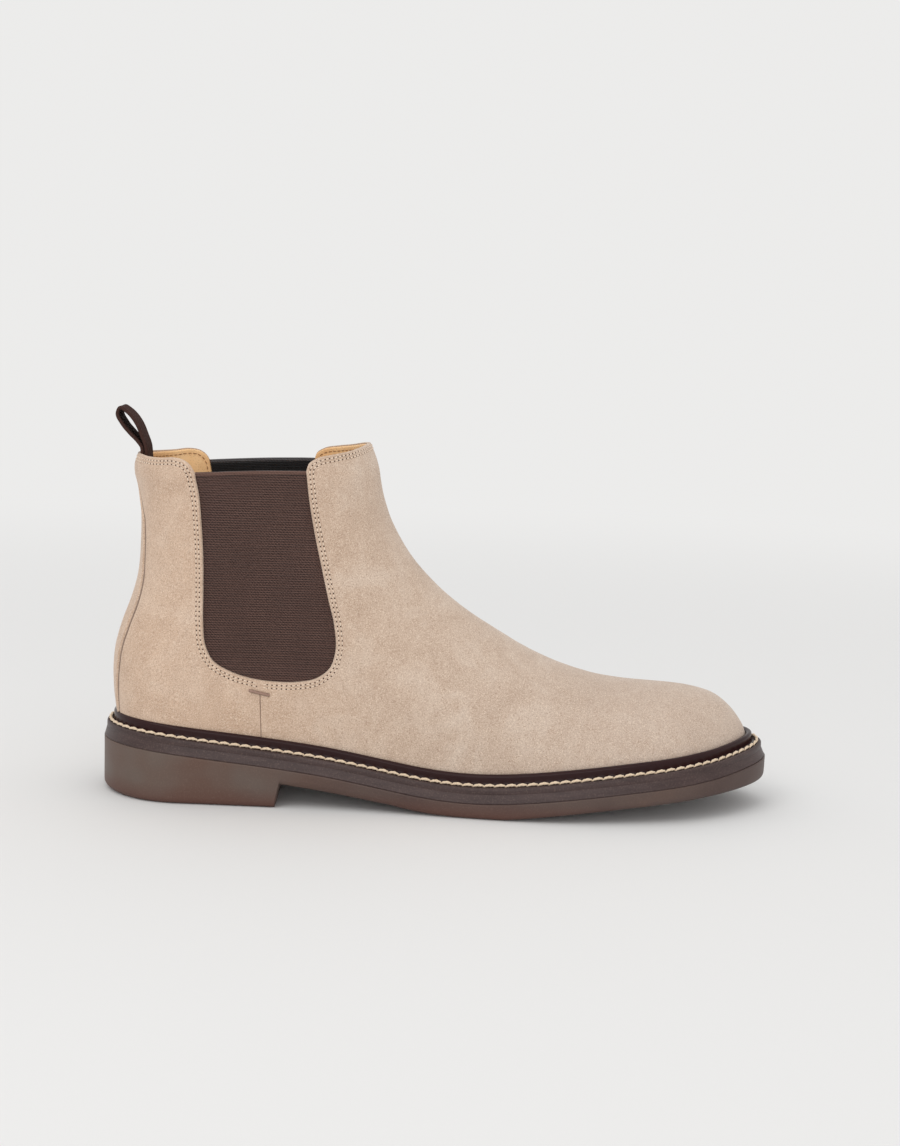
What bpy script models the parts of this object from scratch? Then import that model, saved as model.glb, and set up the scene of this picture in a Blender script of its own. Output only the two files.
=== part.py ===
"""Chelsea boot (right foot): a welted suede ankle boot with elastic side gores, as separate solids.

The boot stands on z = 0 with its toe along +X and its outer (lateral) side along -Y. Lengths below are
millimetres, and they become metres when a mesh is made.

The upper is a thin-walled form. Seen from the side it lies between two ridge curves, BACK and FRONT. A
point of the side view is lifted outwards to its half-width, and the surface turns over each ridge along
a quarter of an ellipse. Every layer of the upper is a stretch of that one surface, at its own depth.
The sole is a stack of layers lofted along one outline, which is the upper's own foot line, offset.
"""

import math

import bmesh
import bpy
import numpy as np
from mathutils import Matrix, Vector
from mathutils.geometry import delaunay_2d_cdt

MM = 0.001
GAP = 0.4  # between neighbouring layers and pieces

# The upper, in the side view: (x, z) along each ridge, with a straight run past each end.
BACK = [(-144, 14), (-146.8, 26), (-148.8, 38), (-149.9, 48), (-150, 57), (-148.9, 68), (-145.9, 78),
        (-142.2, 88), (-139.2, 99), (-138.1, 114), (-138.2, 130), (-138.9, 144), (-139.3, 154.3), (-140.3, 176)]
FRONT = [(-43, 180), (-34.8, 162), (-31, 152.5), (-28.3, 139.5), (-24.4, 127.2), (-19.6, 118.2), (-13.2, 108.9),
         (-4.7, 99.7), (3.2, 92.6), (11.7, 86.4), (27.7, 76.3), (41.2, 68.9), (55.2, 62.8), (70.2, 58.2),
         (84.1, 56), (98, 54.9), (109, 54.2), (118, 53), (126.8, 50.6), (133.8, 46), (139.2, 40), (142.6, 34.6),
         (144.2, 27), (144.5, 14)]
BACK_ROUND = [(20, 31), (50, 33), (80, 36), (110, 40), (135, 39), (160, 36)]  # z, depth of the turn over the ridge
FRONT_ROUND = [(-40, 32), (-25, 38), (0, 48), (50, 45), (90, 39), (118, 31), (140, 26)]  # x, the same
CENTRE = [(-150, 0), (-80, -0.5), (-30, -1.5), (20, -1), (70, 0), (110, 2), (145, 3.5)]  # x, middle y
FOOT_WIDTH = {  # side: (x, half-width of the foot)
    -1: [(-150, 29.5), (-80, 30), (-40, 31), (0, 36), (30, 41), (60, 43.5), (85, 42.5), (100, 40), (110, 36.5),
         (119, 31.5), (130, 26), (137, 23), (146, 20)],
    1: [(-150, 29.5), (-80, 29), (-45, 27), (-20, 27), (0, 30), (30, 38), (60, 43), (78, 43.5), (100, 39.5),
        (110, 36), (119, 31.5), (130, 26.5), (137, 23.5), (146, 20.5)],
}
SHAFT_WIDTH = [(60, 30.5), (90, 30.5), (115, 32), (150, 34.5), (175, 35)]  # z, half-width of the shaft
SHAFT_FROM, SHAFT_TO = 42, 100  # heights between which the foot's width gives way to the shaft's
COLLAR_BULGE, COLLAR_Z, COLLAR_REACH = 2.3, 147, 6  # the soft roll at the back of the top edge

# The upper's cut lines, in the side view.
GORE = [(-110.3, 148), (-109, 139.4), (-107.7, 125.2), (-106.8, 110.4), (-106.5, 95.2), (-106.2, 80.8),
        (-105, 70.9), (-101.5, 64.2), (-94, 59.7), (-84.3, 56.8), (-74, 55.7), (-64.2, 55.9), (-54.8, 58.2),
        (-49.4, 62.9), (-47.2, 69.8), (-47.9, 82), (-50.8, 93.8), (-53.7, 106.7), (-57.1, 122), (-59.9, 137.4),
        (-61.5, 150.5)]
QUARTER_TOP = [(-139.3, 154.3), (-133.5, 153.9), (-127, 153.9), (-120.5, 154.4), (-116, 153.6), (-112.6, 151.4),
               (-110.3, 148)]
VAMP_TOP = [(-61.5, 150.5), (-60.3, 154), (-56.8, 156.4), (-49.5, 158.2), (-42.5, 159.6), (-34.8, 162)]
SIDE_SEAM_TOP, SIDE_SEAM_FOOT = (-80.5, 56.3), (-79, 14)
GORE_CURL_Z = 70  # the gore's lower edge turns up into its sides here
GORE_MARGIN = 7  # the elastic's hidden edge, sewn between suede and lining
ANKLE_CUT_Z = 88  # the quarters part here into a fixed foot and a moving shaft
PUFF_EDGE = [(104, 60), (98, 46), (96, 34), (97, 14)]
COUNTER_EDGE = [(-152, 80), (-132, 76), (-112, 52), (-96, 44), (-92, 34), (-92, 14)]

# The layers of the upper: how deep each starts under the outer surface, and how thick it is.
SUEDE = (0, 1.7)
STIFFENER = (2.5, 0.8)
ELASTIC = (2.35, 0.5)
ELASTIC_BACK = (3.2, 0.4)
LINING = (4.0, 1.0)

# The sole: heights (x, z) along the boot, and how far each layer stands out from the foot line.
SOLE_LINE = [(-155, 24.6), (-139, 24.2), (-126, 23.4), (-105, 21.3), (-73, 18.2), (-52, 15.7), (-33, 12.7),
             (-21, 10.7), (-8, 8.7), (0, 7.8), (11, 7.2), (28, 7.7), (42, 9), (57, 10.8), (83, 13.9), (110, 16.8),
             (124, 18.4), (136, 20.2), (155, 23)]
WAIST_LINE = [(-70, 10.5), (-52, 8.2), (-31, 5.1), (-20, 3.4), (-12, 1.9), (-2, 0.6), (8, 0)]
TOE_LINE = [(30, 0), (38, 0.9), (50, 2.5), (66, 4.6), (85, 6.8), (105, 8.7), (125, 10.3), (153, 12)]
BALL_X = 20  # the bottom is flat on the ground here
HEEL_BREAST_FOOT, HEEL_BREAST_HEAD = -72.2, -70
WELT_EDGE = [(-152, 4.0), (-120, 5.2), (-70, 6.4), (60, 6.4), (120, 6.2), (146, 6)]
OUTSOLE_EXTRA = [(-152, 0.7), (-60, 0.9), (90, 1.2), (148, 3)]
MIDSOLE_THICK, WELT_THICK = 3.6, 3.0
RIB_HEIGHT, RIB_SHARE = 4.8, 0.34  # the rib's width is a share of the welt's
THREAD_PLACE = 0.74  # of the welt's width
THREAD_RADIUS = 0.6
UPPER_FOOT = MIDSOLE_THICK + 1.0  # the upper's cut edge, above the sole line
STIFFENER_FOOT = UPPER_FOOT + 5
FOOT_BELOW_Z = 36  # every ridge is down at the sole under this height
FOOT_LINE_HEIGHT = 8  # above the sole line, where the upper's outline is taken for the sole's
SEAT = MIDSOLE_THICK + 3.4  # the under side of the insole board, above the sole line
BOARD_TOP = SEAT + 2.4
PAD_FRONT, PAD_THICK = -66, 2.4
INSIDE = -(LINING[0] + LINING[1] + GAP)  # just inside the lining, from the foot line
RIB_INSET = 6  # of the insole rib, from there
CORK_INSET = RIB_INSET + 2.2

STATIONS = 72  # round the sole
PANEL_STEP = 9  # size of the triangles of the upper
RIDGE_SMOOTHING = 40  # passes


# ---- curves ----

def spline(points, step):
    """Samples about a step apart on a smooth curve through the points."""
    points = np.asarray(points, float)
    knots = np.concatenate([[0], np.cumsum(np.linalg.norm(np.diff(points, axis=0), axis=1))])
    fine = np.linspace(0, knots[-1], 120 * len(points))
    dense = np.stack([along(knots, points[:, i], fine) for i in range(points.shape[1])], axis=1)
    return resample(dense, step)


def resample(points, step):
    lengths = np.concatenate([[0], np.cumsum(np.linalg.norm(np.diff(points, axis=0), axis=1))])
    count = max(2, int(round(lengths[-1] / step)) + 1)
    wanted = np.linspace(0, lengths[-1], count)
    return np.stack([np.interp(wanted, lengths, points[:, i]) for i in range(points.shape[1])], axis=1)


def along(knots, values, where):
    """A smooth curve of value against knot, held level past both ends."""
    knots, values = np.asarray(knots, float), np.asarray(values, float)
    slopes = np.gradient(values, knots)
    where = np.clip(where, knots[0], knots[-1])
    i = np.clip(np.searchsorted(knots, where, side="right") - 1, 0, len(knots) - 2)
    width = knots[i + 1] - knots[i]
    t = (where - knots[i]) / width
    return ((1 + 2 * t) * (1 - t) ** 2 * values[i] + t * (1 - t) ** 2 * width * slopes[i]
            + t * t * (3 - 2 * t) * values[i + 1] + t * t * (t - 1) * width * slopes[i + 1])


def table(pairs, where):
    knots, values = zip(*pairs)
    return along(knots, values, where)


def smoothstep(t):
    t = np.clip(t, 0, 1)
    return t * t * (3 - 2 * t)


# ---- the upper's surface ----

class Ridge:
    """One edge of the side view, where the surface turns over from the outer to the inner side."""

    def __init__(self, points, rounding, rounding_axis):
        self.points = spline(points, 0.5)
        for _ in range(RIDGE_SMOOTHING):
            self.points[1:-1] = (self.points[:-2] + 2 * self.points[1:-1] + self.points[2:]) / 4
        self.tangents = np.gradient(self.points, axis=0)
        self.tangents /= np.linalg.norm(self.tangents, axis=1)[:, None]
        self.normals = np.stack([-self.tangents[:, 1], self.tangents[:, 0]], axis=1)
        self.round = table(rounding, self.points[:, rounding_axis])

    def locate(self, places):
        """Position along the ridge, in samples, and distance inside it, of side-view places."""
        position, inside = np.empty(len(places)), np.empty(len(places))
        for start in range(0, len(places), 2000):
            some = places[start:start + 2000]
            away = np.linalg.norm(some[:, None] - self.points[None], axis=2)
            i = np.clip(away.argmin(axis=1), 1, len(self.points) - 2)
            lead = [((some - self.points[k]) * self.tangents[k]).sum(axis=1) for k in (i - 1, i, i + 1)]
            ahead = lead[1] > 0
            first, second = np.where(ahead, lead[1], lead[0]), np.where(ahead, lead[2], lead[1])
            at = i - 1 + ahead + np.clip(first / (first - second), 0, 1)
            position[start:start + 2000] = at
            inside[start:start + 2000] = -((some - self.at(self.points, at)) * self.at(self.normals, at)).sum(axis=1)
        return position, inside

    def at(self, values, position):
        low = np.clip(position.astype(int), 0, len(values) - 2)
        t = position - low
        t = t[:, None] if values.ndim == 2 else t
        return values[low] * (1 - t) + values[low + 1] * t

    def turn(self, position, inside):
        """The angle round the ellipse, 0 on the ridge and a quarter turn where the side is flat."""
        depth = self.at(self.round, position)
        return np.arccos(np.clip(1 - inside / depth, -1, 1)) * (inside < depth) + math.pi / 2 * (inside >= depth)

    def flatten(self, places):
        """Side-view places with the turn over the ridge rolled out flat."""
        position, inside = self.locate(places)
        inside = np.maximum(inside, 0)
        depth = self.at(self.round, position)
        rolled = depth * (self.turn(position, inside) - math.pi / 2 + 1)
        moved = self.at(self.points, position) - self.at(self.normals, position) * rolled[:, None]
        return np.where((inside < depth)[:, None], moved, places)

    def roll(self, flat):
        """The side-view places and turn angles of rolled-out places."""
        position, rolled = self.locate(flat)
        depth = self.at(self.round, position)
        angle = np.clip(rolled / depth + math.pi / 2 - 1, -math.pi / 2, math.pi / 2)
        inside = depth * (1 - np.cos(angle))
        moved = self.at(self.points, position) - self.at(self.normals, position) * inside[:, None]
        return np.where((rolled < depth)[:, None], moved, flat), angle


RIDGES = {"back": Ridge(BACK, BACK_ROUND, 1), "front": Ridge(FRONT, FRONT_ROUND, 0)}


def lift(flat, side, ridge):
    """Points of the surface over rolled-out places; ridge None means plain side-view places."""
    places, turns = flat, {}
    if ridge:
        places, turns[ridge] = RIDGES[ridge].roll(flat)
    for name in RIDGES:
        if name != ridge:
            turns[name] = RIDGES[name].turn(*RIDGES[name].locate(places))
    x, z = places.T
    foot, shaft = table(FOOT_WIDTH[side], x), table(SHAFT_WIDTH, z)
    width = foot + (shaft - foot) * smoothstep((z - SHAFT_FROM) / (SHAFT_TO - SHAFT_FROM))
    y = table(CENTRE, x) + side * width * np.sin(turns["back"]) * np.sin(turns["front"])
    collar = COLLAR_BULGE * np.exp(-(((z - COLLAR_Z) / COLLAR_REACH) ** 2)) * np.cos(turns["back"])
    return np.stack([x - collar, y, z], axis=1)


def surface(flat, side, ridge):
    """Points of the surface and its outward normals."""
    reach = 0.2
    points = lift(flat, side, ridge)
    along_u = lift(flat + [reach, 0], side, ridge) - lift(flat - [reach, 0], side, ridge)
    along_v = lift(flat + [0, reach], side, ridge) - lift(flat - [0, reach], side, ridge)
    normals = -side * np.cross(along_u, along_v)
    return points, normals / np.linalg.norm(normals, axis=1)[:, None]


def inside_polygon(places, polygon):
    found = np.zeros(len(places), bool)
    for (x1, z1), (x2, z2) in zip(polygon, np.roll(polygon, -1, axis=0)):
        crosses = (z1 > places[:, 1]) != (z2 > places[:, 1])
        with np.errstate(divide="ignore", invalid="ignore"):
            found ^= crosses & (places[:, 0] < (x2 - x1) * (places[:, 1] - z1) / (z2 - z1) + x1)
    return found


def net(outline, step):
    """Even triangles over a flat outline: their places and corners. The outline's points come first."""
    low, high = outline.min(axis=0), outline.max(axis=0)
    row = step * math.sqrt(0.75)
    lattice = np.array([(low[0] + step * (i + 0.5 * (j % 2)), low[1] + row * (j + 0.5))
                        for j in range(int((high[1] - low[1]) / row) + 1)
                        for i in range(int((high[0] - low[0]) / step) + 2)])
    lattice = lattice[inside_polygon(lattice, outline)]
    edge = resample(np.vstack([outline, outline[:1]]), step / 4)
    lattice = lattice[np.linalg.norm(lattice[:, None] - edge[None], axis=2).min(axis=1) > 0.55 * step]
    places = np.vstack([outline, lattice])
    made = delaunay_2d_cdt([Vector(p) for p in places], [], [list(range(len(outline)))], 1, 1e-4)
    return np.array([tuple(v) for v in made[0]]), [tuple(face) for face in made[2]]


def panel(name, outline, sides, ridge, layer, material, step=PANEL_STEP):
    """A layer of the upper: the part of the surface that lies over a side-view outline."""
    start, thick = layer
    flat_outline = np.asarray(outline, float)
    on_ridge = np.zeros(len(flat_outline), bool)
    if ridge:
        on_ridge = RIDGES[ridge].locate(flat_outline)[1] < 0.02
        flat_outline = RIDGES[ridge].flatten(flat_outline)
    places, corners = net(flat_outline, step)
    points, normals, faces, shared = [], [], [], {}
    for side in sides:
        here, outward = surface(places, side, ridge)
        index = []
        for k in range(len(places)):
            middle = k < len(on_ridge) and on_ridge[k]
            if middle:
                here[k, 1] = table(CENTRE, here[k, 0])
                outward[k, 1] = 0
                outward[k] /= np.linalg.norm(outward[k])
            if middle and k in shared:
                index.append(shared[k])
                continue
            if middle:
                shared[k] = len(points)
            index.append(len(points))
            points.append(here[k])
            normals.append(outward[k])
        for face in corners:
            face = [index[k] for k in face]
            faces.append(face if side < 0 else face[::-1])
    return sheet_solid(name, np.array(points), np.array(normals), faces, start, thick, material)


def sheet_solid(name, points, normals, faces, start, thick, material):
    """A sheet of triangles made thick, between two depths under it."""
    count = len(points)
    corners = np.vstack([points - normals * start, points - normals * (start + thick)])
    sides = {(a, b) for face in faces for a, b in zip(face, face[1:] + face[:1])}
    walls = [[a, a + count, b + count, b] for a, b in sorted(sides) if (b, a) not in sides]
    under = [[k + count for k in face[::-1]] for face in faces]
    return mesh_object(name, corners, faces + under + walls, material)


# ---- outlines of the upper's pieces ----

def line(start, end, step=PANEL_STEP):
    return resample(np.array([start, end], float), step)


def ridge_run(name, low_z, high_z, step=PANEL_STEP):
    """The ridge between two heights, from the lower to the higher."""
    points = RIDGES[name].points
    if name == "front":
        points = points[::-1]
    return resample(points[(points[:, 1] >= low_z) & (points[:, 1] <= high_z)], step)


def even(points, ridge, step=PANEL_STEP):
    """Side-view points spaced evenly over the surface, where it turns over a ridge."""
    flat = RIDGES[ridge].flatten(points)
    lengths = np.concatenate([[0], np.cumsum(np.linalg.norm(np.diff(flat, axis=0), axis=1))])
    wanted = np.linspace(0, lengths[-1], max(2, int(round(lengths[-1] / step)) + 1))
    return np.stack([np.interp(wanted, lengths, points[:, i]) for i in (0, 1)], axis=1)


def foot_run(x_from, x_to, ridge, above=UPPER_FOOT, step=PANEL_STEP):
    x = np.linspace(x_from, x_to, 1500)
    return even(np.stack([x, table(SOLE_LINE, x) + above], axis=1), ridge, step)


def joined(*runs):
    """Runs of points as one outline, without repeats where they meet."""
    points = np.vstack(runs)
    keep = np.linalg.norm(points - np.roll(points, 1, axis=0), axis=1) > 0.05
    return points[keep]


def shifted(points, dx=0.0, dz=0.0):
    return np.asarray(points, float) + [dx, dz]


def gore_edge(grow, step=PANEL_STEP):
    """The gore's outline below its top edge, grown outwards all round."""
    points = spline(GORE, step)
    tangent = np.gradient(points, axis=0)
    tangent /= np.linalg.norm(tangent, axis=1)[:, None]
    return points + grow * np.stack([tangent[:, 1], -tangent[:, 0]], axis=1)


def gore_split(grow):
    """The gore's edge as its rear and front parts, which meet at the side seam."""
    points = gore_edge(grow)
    cut = int((np.abs(points[:, 0] - SIDE_SEAM_TOP[0]) + 1000 * (points[:, 1] > GORE_CURL_Z)).argmin())
    return points[:cut + 1], points[cut:]


def gore_rear_x(z, grow):
    rear = gore_split(grow)[0]
    return float(np.interp(-z, -rear[:, 1], rear[:, 0]))


def seam_ends(shift, grow):
    """Where the side seam meets the gore, and where it meets the upper's foot."""
    low = gore_edge(grow)
    low = low[low[:, 1] < GORE_CURL_Z]
    head_x, foot_x = SIDE_SEAM_TOP[0] + shift, SIDE_SEAM_FOOT[0] + shift
    return ((head_x, float(np.interp(head_x, low[:, 0], low[:, 1]))),
            (foot_x, float(table(SOLE_LINE, foot_x)) + UPPER_FOOT))


def ridge_x(name, z):
    points = RIDGES[name].points
    order = points[:, 1].argsort()
    return float(np.interp(z, points[order, 1], points[order, 0]))


def foot_z(name, above=UPPER_FOOT):
    """The height at which a ridge comes down to a level above the sole line."""
    points = RIDGES[name].points
    points = points[points[:, 1] < FOOT_BELOW_Z]
    over = points[:, 1] - table(SOLE_LINE, points[:, 0]) - above
    return float(points[np.abs(over).argmin(), 1])


def vamp_outline(grow, seam_shift, top_drop=0.0):
    """Ridge, foot line, side seam and the front of the gore, as one loop."""
    toe_z = foot_z("front")
    head, foot = seam_ends(seam_shift, grow)
    front = gore_split(grow)[1]
    front = front[front[:, 0] > head[0] + 2]
    top = even(spline(shifted(VAMP_TOP, dz=-top_drop), 0.1), "front")[1:-1]
    return joined(ridge_run("front", toe_z, VAMP_TOP[-1][1] - top_drop)[::-1],
                  foot_run(ridge_x("front", toe_z), foot[0], "front")[1:-1], [foot], line(foot, head)[1:-1], [head],
                  front[:-1], [(front[-1, 0], min(front[-1, 1], VAMP_TOP[0][1] - top_drop))], top)


def quarter_outline(grow, seam_shift, low, high, top_drop=0.0):
    """Back ridge and the rear of the gore between two heights; None stands for the foot or the top edge."""
    rear = gore_split(grow)[0]
    ridge_low = foot_z("back") if low is None else low
    ridge_high = QUARTER_TOP[0][1] - top_drop if high is None else high
    back = ridge_run("back", ridge_low, ridge_high)
    if high is None:
        top = even(spline(shifted(QUARTER_TOP, dz=-top_drop), 0.1), "back")[1:-1]
        rear = rear[rear[:, 1] < QUARTER_TOP[-1][1] - top_drop + 0.5]
    else:
        top = even(line((ridge_x("back", high), high), (gore_rear_x(high, grow), high), 0.1), "back")[1:]
        rear = rear[rear[:, 1] < high - 1]
    if low is not None:
        rear = rear[rear[:, 1] > low + 1]
        under = even(line((gore_rear_x(low, grow), low), (ridge_x("back", low), low), 0.1), "back")[:-1]
        return joined(back, top, rear, under)
    head, foot = seam_ends(seam_shift, grow)
    rear = rear[rear[:, 0] < head[0] - 2]
    under = foot_run(foot[0], ridge_x("back", ridge_low), "back")[1:-1]
    return joined(back, top, rear, [head], line(head, foot)[1:-1], [foot], under)


# ---- the sole ----

def foot_line():
    """The upper's outline where it meets the welt, and its outward normals."""
    z_back, z_front = (foot_z(name, FOOT_LINE_HEIGHT) for name in ("back", "front"))
    x_back, x_front = ridge_x("back", z_back), ridge_x("front", z_front)
    angle = np.linspace(0, math.pi, STATIONS // 2 + 1)[1:-1]
    x = (x_back + x_front) / 2 - (x_front - x_back) / 2 * np.cos(angle)
    for edge in (HEEL_BREAST_FOOT, HEEL_BREAST_HEAD):
        x[np.abs(x - edge).argmin()] = edge
    places = np.stack([x, table(SOLE_LINE, x) + FOOT_LINE_HEIGHT], axis=1)
    outer, inner = (lift(places, side, None)[:, :2] for side in (-1, 1))
    heel = [(x_back, float(table(CENTRE, x_back)))]
    toe = [(x_front, float(table(CENTRE, x_front)))]
    loop = np.vstack([heel, outer, toe, inner[::-1]])
    tangent = np.roll(loop, -1, axis=0) - np.roll(loop, 1, axis=0)
    normals = np.stack([tangent[:, 1], -tangent[:, 0]], axis=1)
    return loop, normals / np.linalg.norm(normals, axis=1)[:, None]


FOOT_LINE, FOOT_NORMALS = foot_line()


def ring(out, height, share=0.0, extra=0.0):
    """A loop round the sole: out from the foot line, plus a share of the welt's width, at a height.

    Height is a function of x, or a number counted from the sole line.
    """
    x = FOOT_LINE[:, 0]
    reach = out + share * table(WELT_EDGE, x) + extra * table(OUTSOLE_EXTRA, x)
    loop = FOOT_LINE + FOOT_NORMALS * reach[:, None]
    z = height(loop[:, 0]) if callable(height) else table(SOLE_LINE, loop[:, 0]) + height
    return np.column_stack([loop, z])


def tread(x):
    """Height of the bottom: the heel and the ball touch the ground, the waist and the toe are clear."""
    x = np.asarray(x, float)
    waist = table(WAIST_LINE, x)
    return np.where(x <= HEEL_BREAST_FOOT + 0.4, 0.0, np.where(x < BALL_X, waist, table(TOE_LINE, x)))


def over_tread(rise):
    return lambda x: tread(x) + rise


def plate(name, rings, material):
    """Rings from the bottom one up, closed by strips across the first and the last."""
    size = len(rings[0])
    half = size // 2
    faces = []
    for level in range(len(rings) - 1):
        low, high = level * size, (level + 1) * size
        for k in range(size):
            after = (k + 1) % size
            faces.append([low + k, low + after, high + after, high + k])
    for base, up in ((0, False), ((len(rings) - 1) * size, True)):
        for k in range(half):
            quad = [base + k, base + k + 1, base + (size - k - 1) % size, base + (size - k) % size]
            quad = list(dict.fromkeys(quad))
            faces.append(quad if up else quad[::-1])
    return mesh_object(name, np.vstack(rings), faces, material)


def hoop(name, rings, material):
    """A closed section carried round the sole: the rings go round that section."""
    size, turns = len(rings[0]), len(rings)
    faces = [[i * size + k, i * size + (k + 1) % size, ((i + 1) % turns) * size + (k + 1) % size,
              ((i + 1) % turns) * size + k] for i in range(turns) for k in range(size)]
    return mesh_object(name, np.vstack(rings), faces, material)


def thread_hoop(name, out, share, height, radius, material, sides=6):
    rings = [ring(out + radius * math.cos(a), height + radius * math.sin(a), share)
             for a in np.linspace(0, 2 * math.pi, sides, endpoint=False)]
    return hoop(name, rings, material)


# ---- objects ----

def material_of(name, colour, roughness, metallic=0.0):
    made = bpy.data.materials.new(name)
    made.use_nodes = True
    shader = made.node_tree.nodes["Principled BSDF"]
    shader.inputs["Base Color"].default_value = (*colour, 1)
    shader.inputs["Roughness"].default_value = roughness
    shader.inputs["Metallic"].default_value = metallic
    return made


def mesh_object(name, points, faces, material):
    """A closed mesh, in metres, with its faces turned outwards."""
    mesh = bpy.data.meshes.new(name)
    mesh.from_pydata([tuple(p * MM) for p in points], [], faces)
    work = bmesh.new()
    work.from_mesh(mesh)
    bmesh.ops.recalc_face_normals(work, faces=work.faces)
    if work.calc_volume(signed=True) < 0:
        bmesh.ops.reverse_faces(work, faces=work.faces)
    bmesh.ops.triangulate(work, faces=work.faces)
    work.to_mesh(mesh)
    work.free()
    mesh.shade_smooth()
    mesh.set_sharp_from_angle(angle=math.radians(35))
    mesh.materials.append(material)
    made = bpy.data.objects.new(name, mesh)
    bpy.context.scene.collection.objects.link(made)
    return made


def set_origin(made, place):
    """Moves an object's origin to a joint's axis and leaves its mesh where it is."""
    made.data.transform(Matrix.Translation(Vector(place) * -MM))
    made.location = Vector(place) * MM


def strip(name, path, widths, across, thick, material):
    """A strip of a width (one value a point) and thickness that follows a path in the side view."""
    path = np.asarray(path, float)
    tangent = np.gradient(path, axis=0)
    tangent /= np.linalg.norm(tangent, axis=1)[:, None]
    normal = np.stack([-tangent[:, 1], tangent[:, 0]], axis=1) * thick / 2
    corners = []
    for p, n, width in zip(path, normal, widths):
        corners += [(p[0] + n[0], across - width / 2, p[1] + n[1]), (p[0] + n[0], across + width / 2, p[1] + n[1]),
                    (p[0] - n[0], across + width / 2, p[1] - n[1]), (p[0] - n[0], across - width / 2, p[1] - n[1])]
    count = len(path)
    faces = [[4 * i + k, 4 * i + (k + 1) % 4, 4 * i + 4 + (k + 1) % 4, 4 * i + 4 + k]
             for i in range(count - 1) for k in range(4)]
    faces += [[0, 1, 2, 3], [4 * count - 1, 4 * count - 2, 4 * count - 3, 4 * count - 4]]
    return mesh_object(name, np.array(corners), faces, material)


# ---- the boot ----

# The pull tab: a folded tape that leans back over the top edge, in the side view.
TAB_PIVOT = (-136.2, 0, 156.4)
TAB_WIDTH, TAB_THICK = 17.0, 1.4
TAB_LOOP = [(-137.3, 157), (-139.2, 159.2), (-142.8, 162.7), (-146.5, 167.2), (-148.5, 171.8), (-147.4, 174.2),
            (-144.6, 172.8), (-141.4, 169.8), (-139.3, 166.6), (-137.2, 161.8), (-135.1, 157)]
ANCHOR_FOOT, ANCHOR_HEAD = 128, 155.8
ANCHOR = (2.6, 0.6)
BARTACK = (-0.9, 0.6)
BARTACK_Z, BARTACK_LENGTH, BARTACK_WIDTH, BARTACK_SLOPE = 50.6, 9.6, 1.3, 0.19


def remove_all():
    for found in list(bpy.data.objects):
        bpy.data.objects.remove(found, do_unlink=True)


def make_sole(look):
    plate("outsole", [
        ring(-0.6, over_tread(0.0), 1, 0.6),
        ring(0.6, over_tread(0.8), 1, 0.9),
        ring(0.9, over_tread(2.2), 1, 1),
        ring(0.9, -1.6, 1, 1),
        ring(0.5, -GAP / 2, 1, 0.9),
    ], look["rubber"])
    plate("midsole", [ring(0.2, GAP / 2, 1, 0.5), ring(0.2, MIDSOLE_THICK, 1, 0.2)], look["midsole"])
    shelf = MIDSOLE_THICK + GAP
    top = shelf + WELT_THICK
    rib = top + RIB_HEIGHT
    hoop("welt", [
        ring(0.6, shelf), ring(0, shelf, 1), ring(0.3, shelf + 1.2, 1), ring(0, top - 0.3, 1),
        ring(-0.5, top, 1), ring(0.2, top, RIB_SHARE + 0.12), ring(0.2, top + 0.7, RIB_SHARE),
        ring(0.1, rib - 0.8, RIB_SHARE), ring(0.5, rib, RIB_SHARE / 2), ring(0.5, rib - 0.5),
    ], look["welt"])
    thread_hoop("welt_thread", 0, THREAD_PLACE, top + THREAD_RADIUS + 0.3, THREAD_RADIUS, look["thread"])

    plate("insole_board", [ring(INSIDE - 4, SEAT - 0.2), ring(INSIDE - 2, SEAT + 0.4),
                           ring(INSIDE - 1.8, BOARD_TOP)], look["board"])
    rib = ring(INSIDE - RIB_INSET, 0), ring(INSIDE - RIB_INSET - 1.6, 0)
    low, high = MIDSOLE_THICK + 0.5, SEAT - 0.6
    hoop("insole_rib", [rib[0] + [0, 0, high], rib[1] + [0, 0, high], rib[1] + [0, 0, low], rib[0] + [0, 0, low]],
         look["canvas"])
    plate("sock_liner", [ring(INSIDE - 1.1, over_pad(BOARD_TOP + GAP)), ring(INSIDE - 1.1, over_pad(BOARD_TOP + 1.6))],
          look["lining"])
    make_filler(look)
    make_pad(look)


def over_pad(rise):
    """A height above the sole line, raised over the heel pad."""
    return lambda x: table(SOLE_LINE, x) + rise + (PAD_THICK + GAP) * smoothstep((PAD_FRONT + 12 - x) / 11)


def make_filler(look):
    """The cork bed between the rib's walls, open for the shank, and the shank in it."""
    low, high = MIDSOLE_THICK + GAP, SEAT - 0.6
    cork = plate("cork_filler", [ring(INSIDE - CORK_INSET, low), ring(INSIDE - CORK_INSET, high)], look["cork"])
    middle = (low + high) / 2
    bar = np.linspace(-112, 4, 14)
    slot = np.linspace(bar[0] - 0.6, bar[-1] + 0.6, 14)
    widths = 13 - 3 * np.cos((bar + 54) / 58 * math.pi)
    strip("shank", np.stack([bar, table(SOLE_LINE, bar) + middle], axis=1), widths, -1.0, high - low - 0.1,
          look["steel"])
    cutter = strip("shank_slot", np.stack([slot, table(SOLE_LINE, slot) + middle], axis=1), widths + 1.0, -1.0, 6,
                   look["steel"])
    cut_away(cork, cutter)


def make_pad(look):
    """The foam under the heel, cut off square in front."""
    pad = plate("heel_pad", [ring(INSIDE - 1.6, BOARD_TOP + GAP), ring(INSIDE - 1.6, BOARD_TOP + GAP + PAD_THICK)],
                look["foam"])
    ahead = [(PAD_FRONT, 20), (50, 20), (170, 20)]
    cut_away(pad, strip("heel_pad_front", ahead, [160] * 3, 0, 90, look["foam"]))


def cut_away(made, cutter):
    cutter.hide_render = True
    cutter.display_type = "WIRE"
    cut = made.modifiers.new("cut", "BOOLEAN")
    cut.operation = "DIFFERENCE"
    cut.object = cutter


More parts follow.
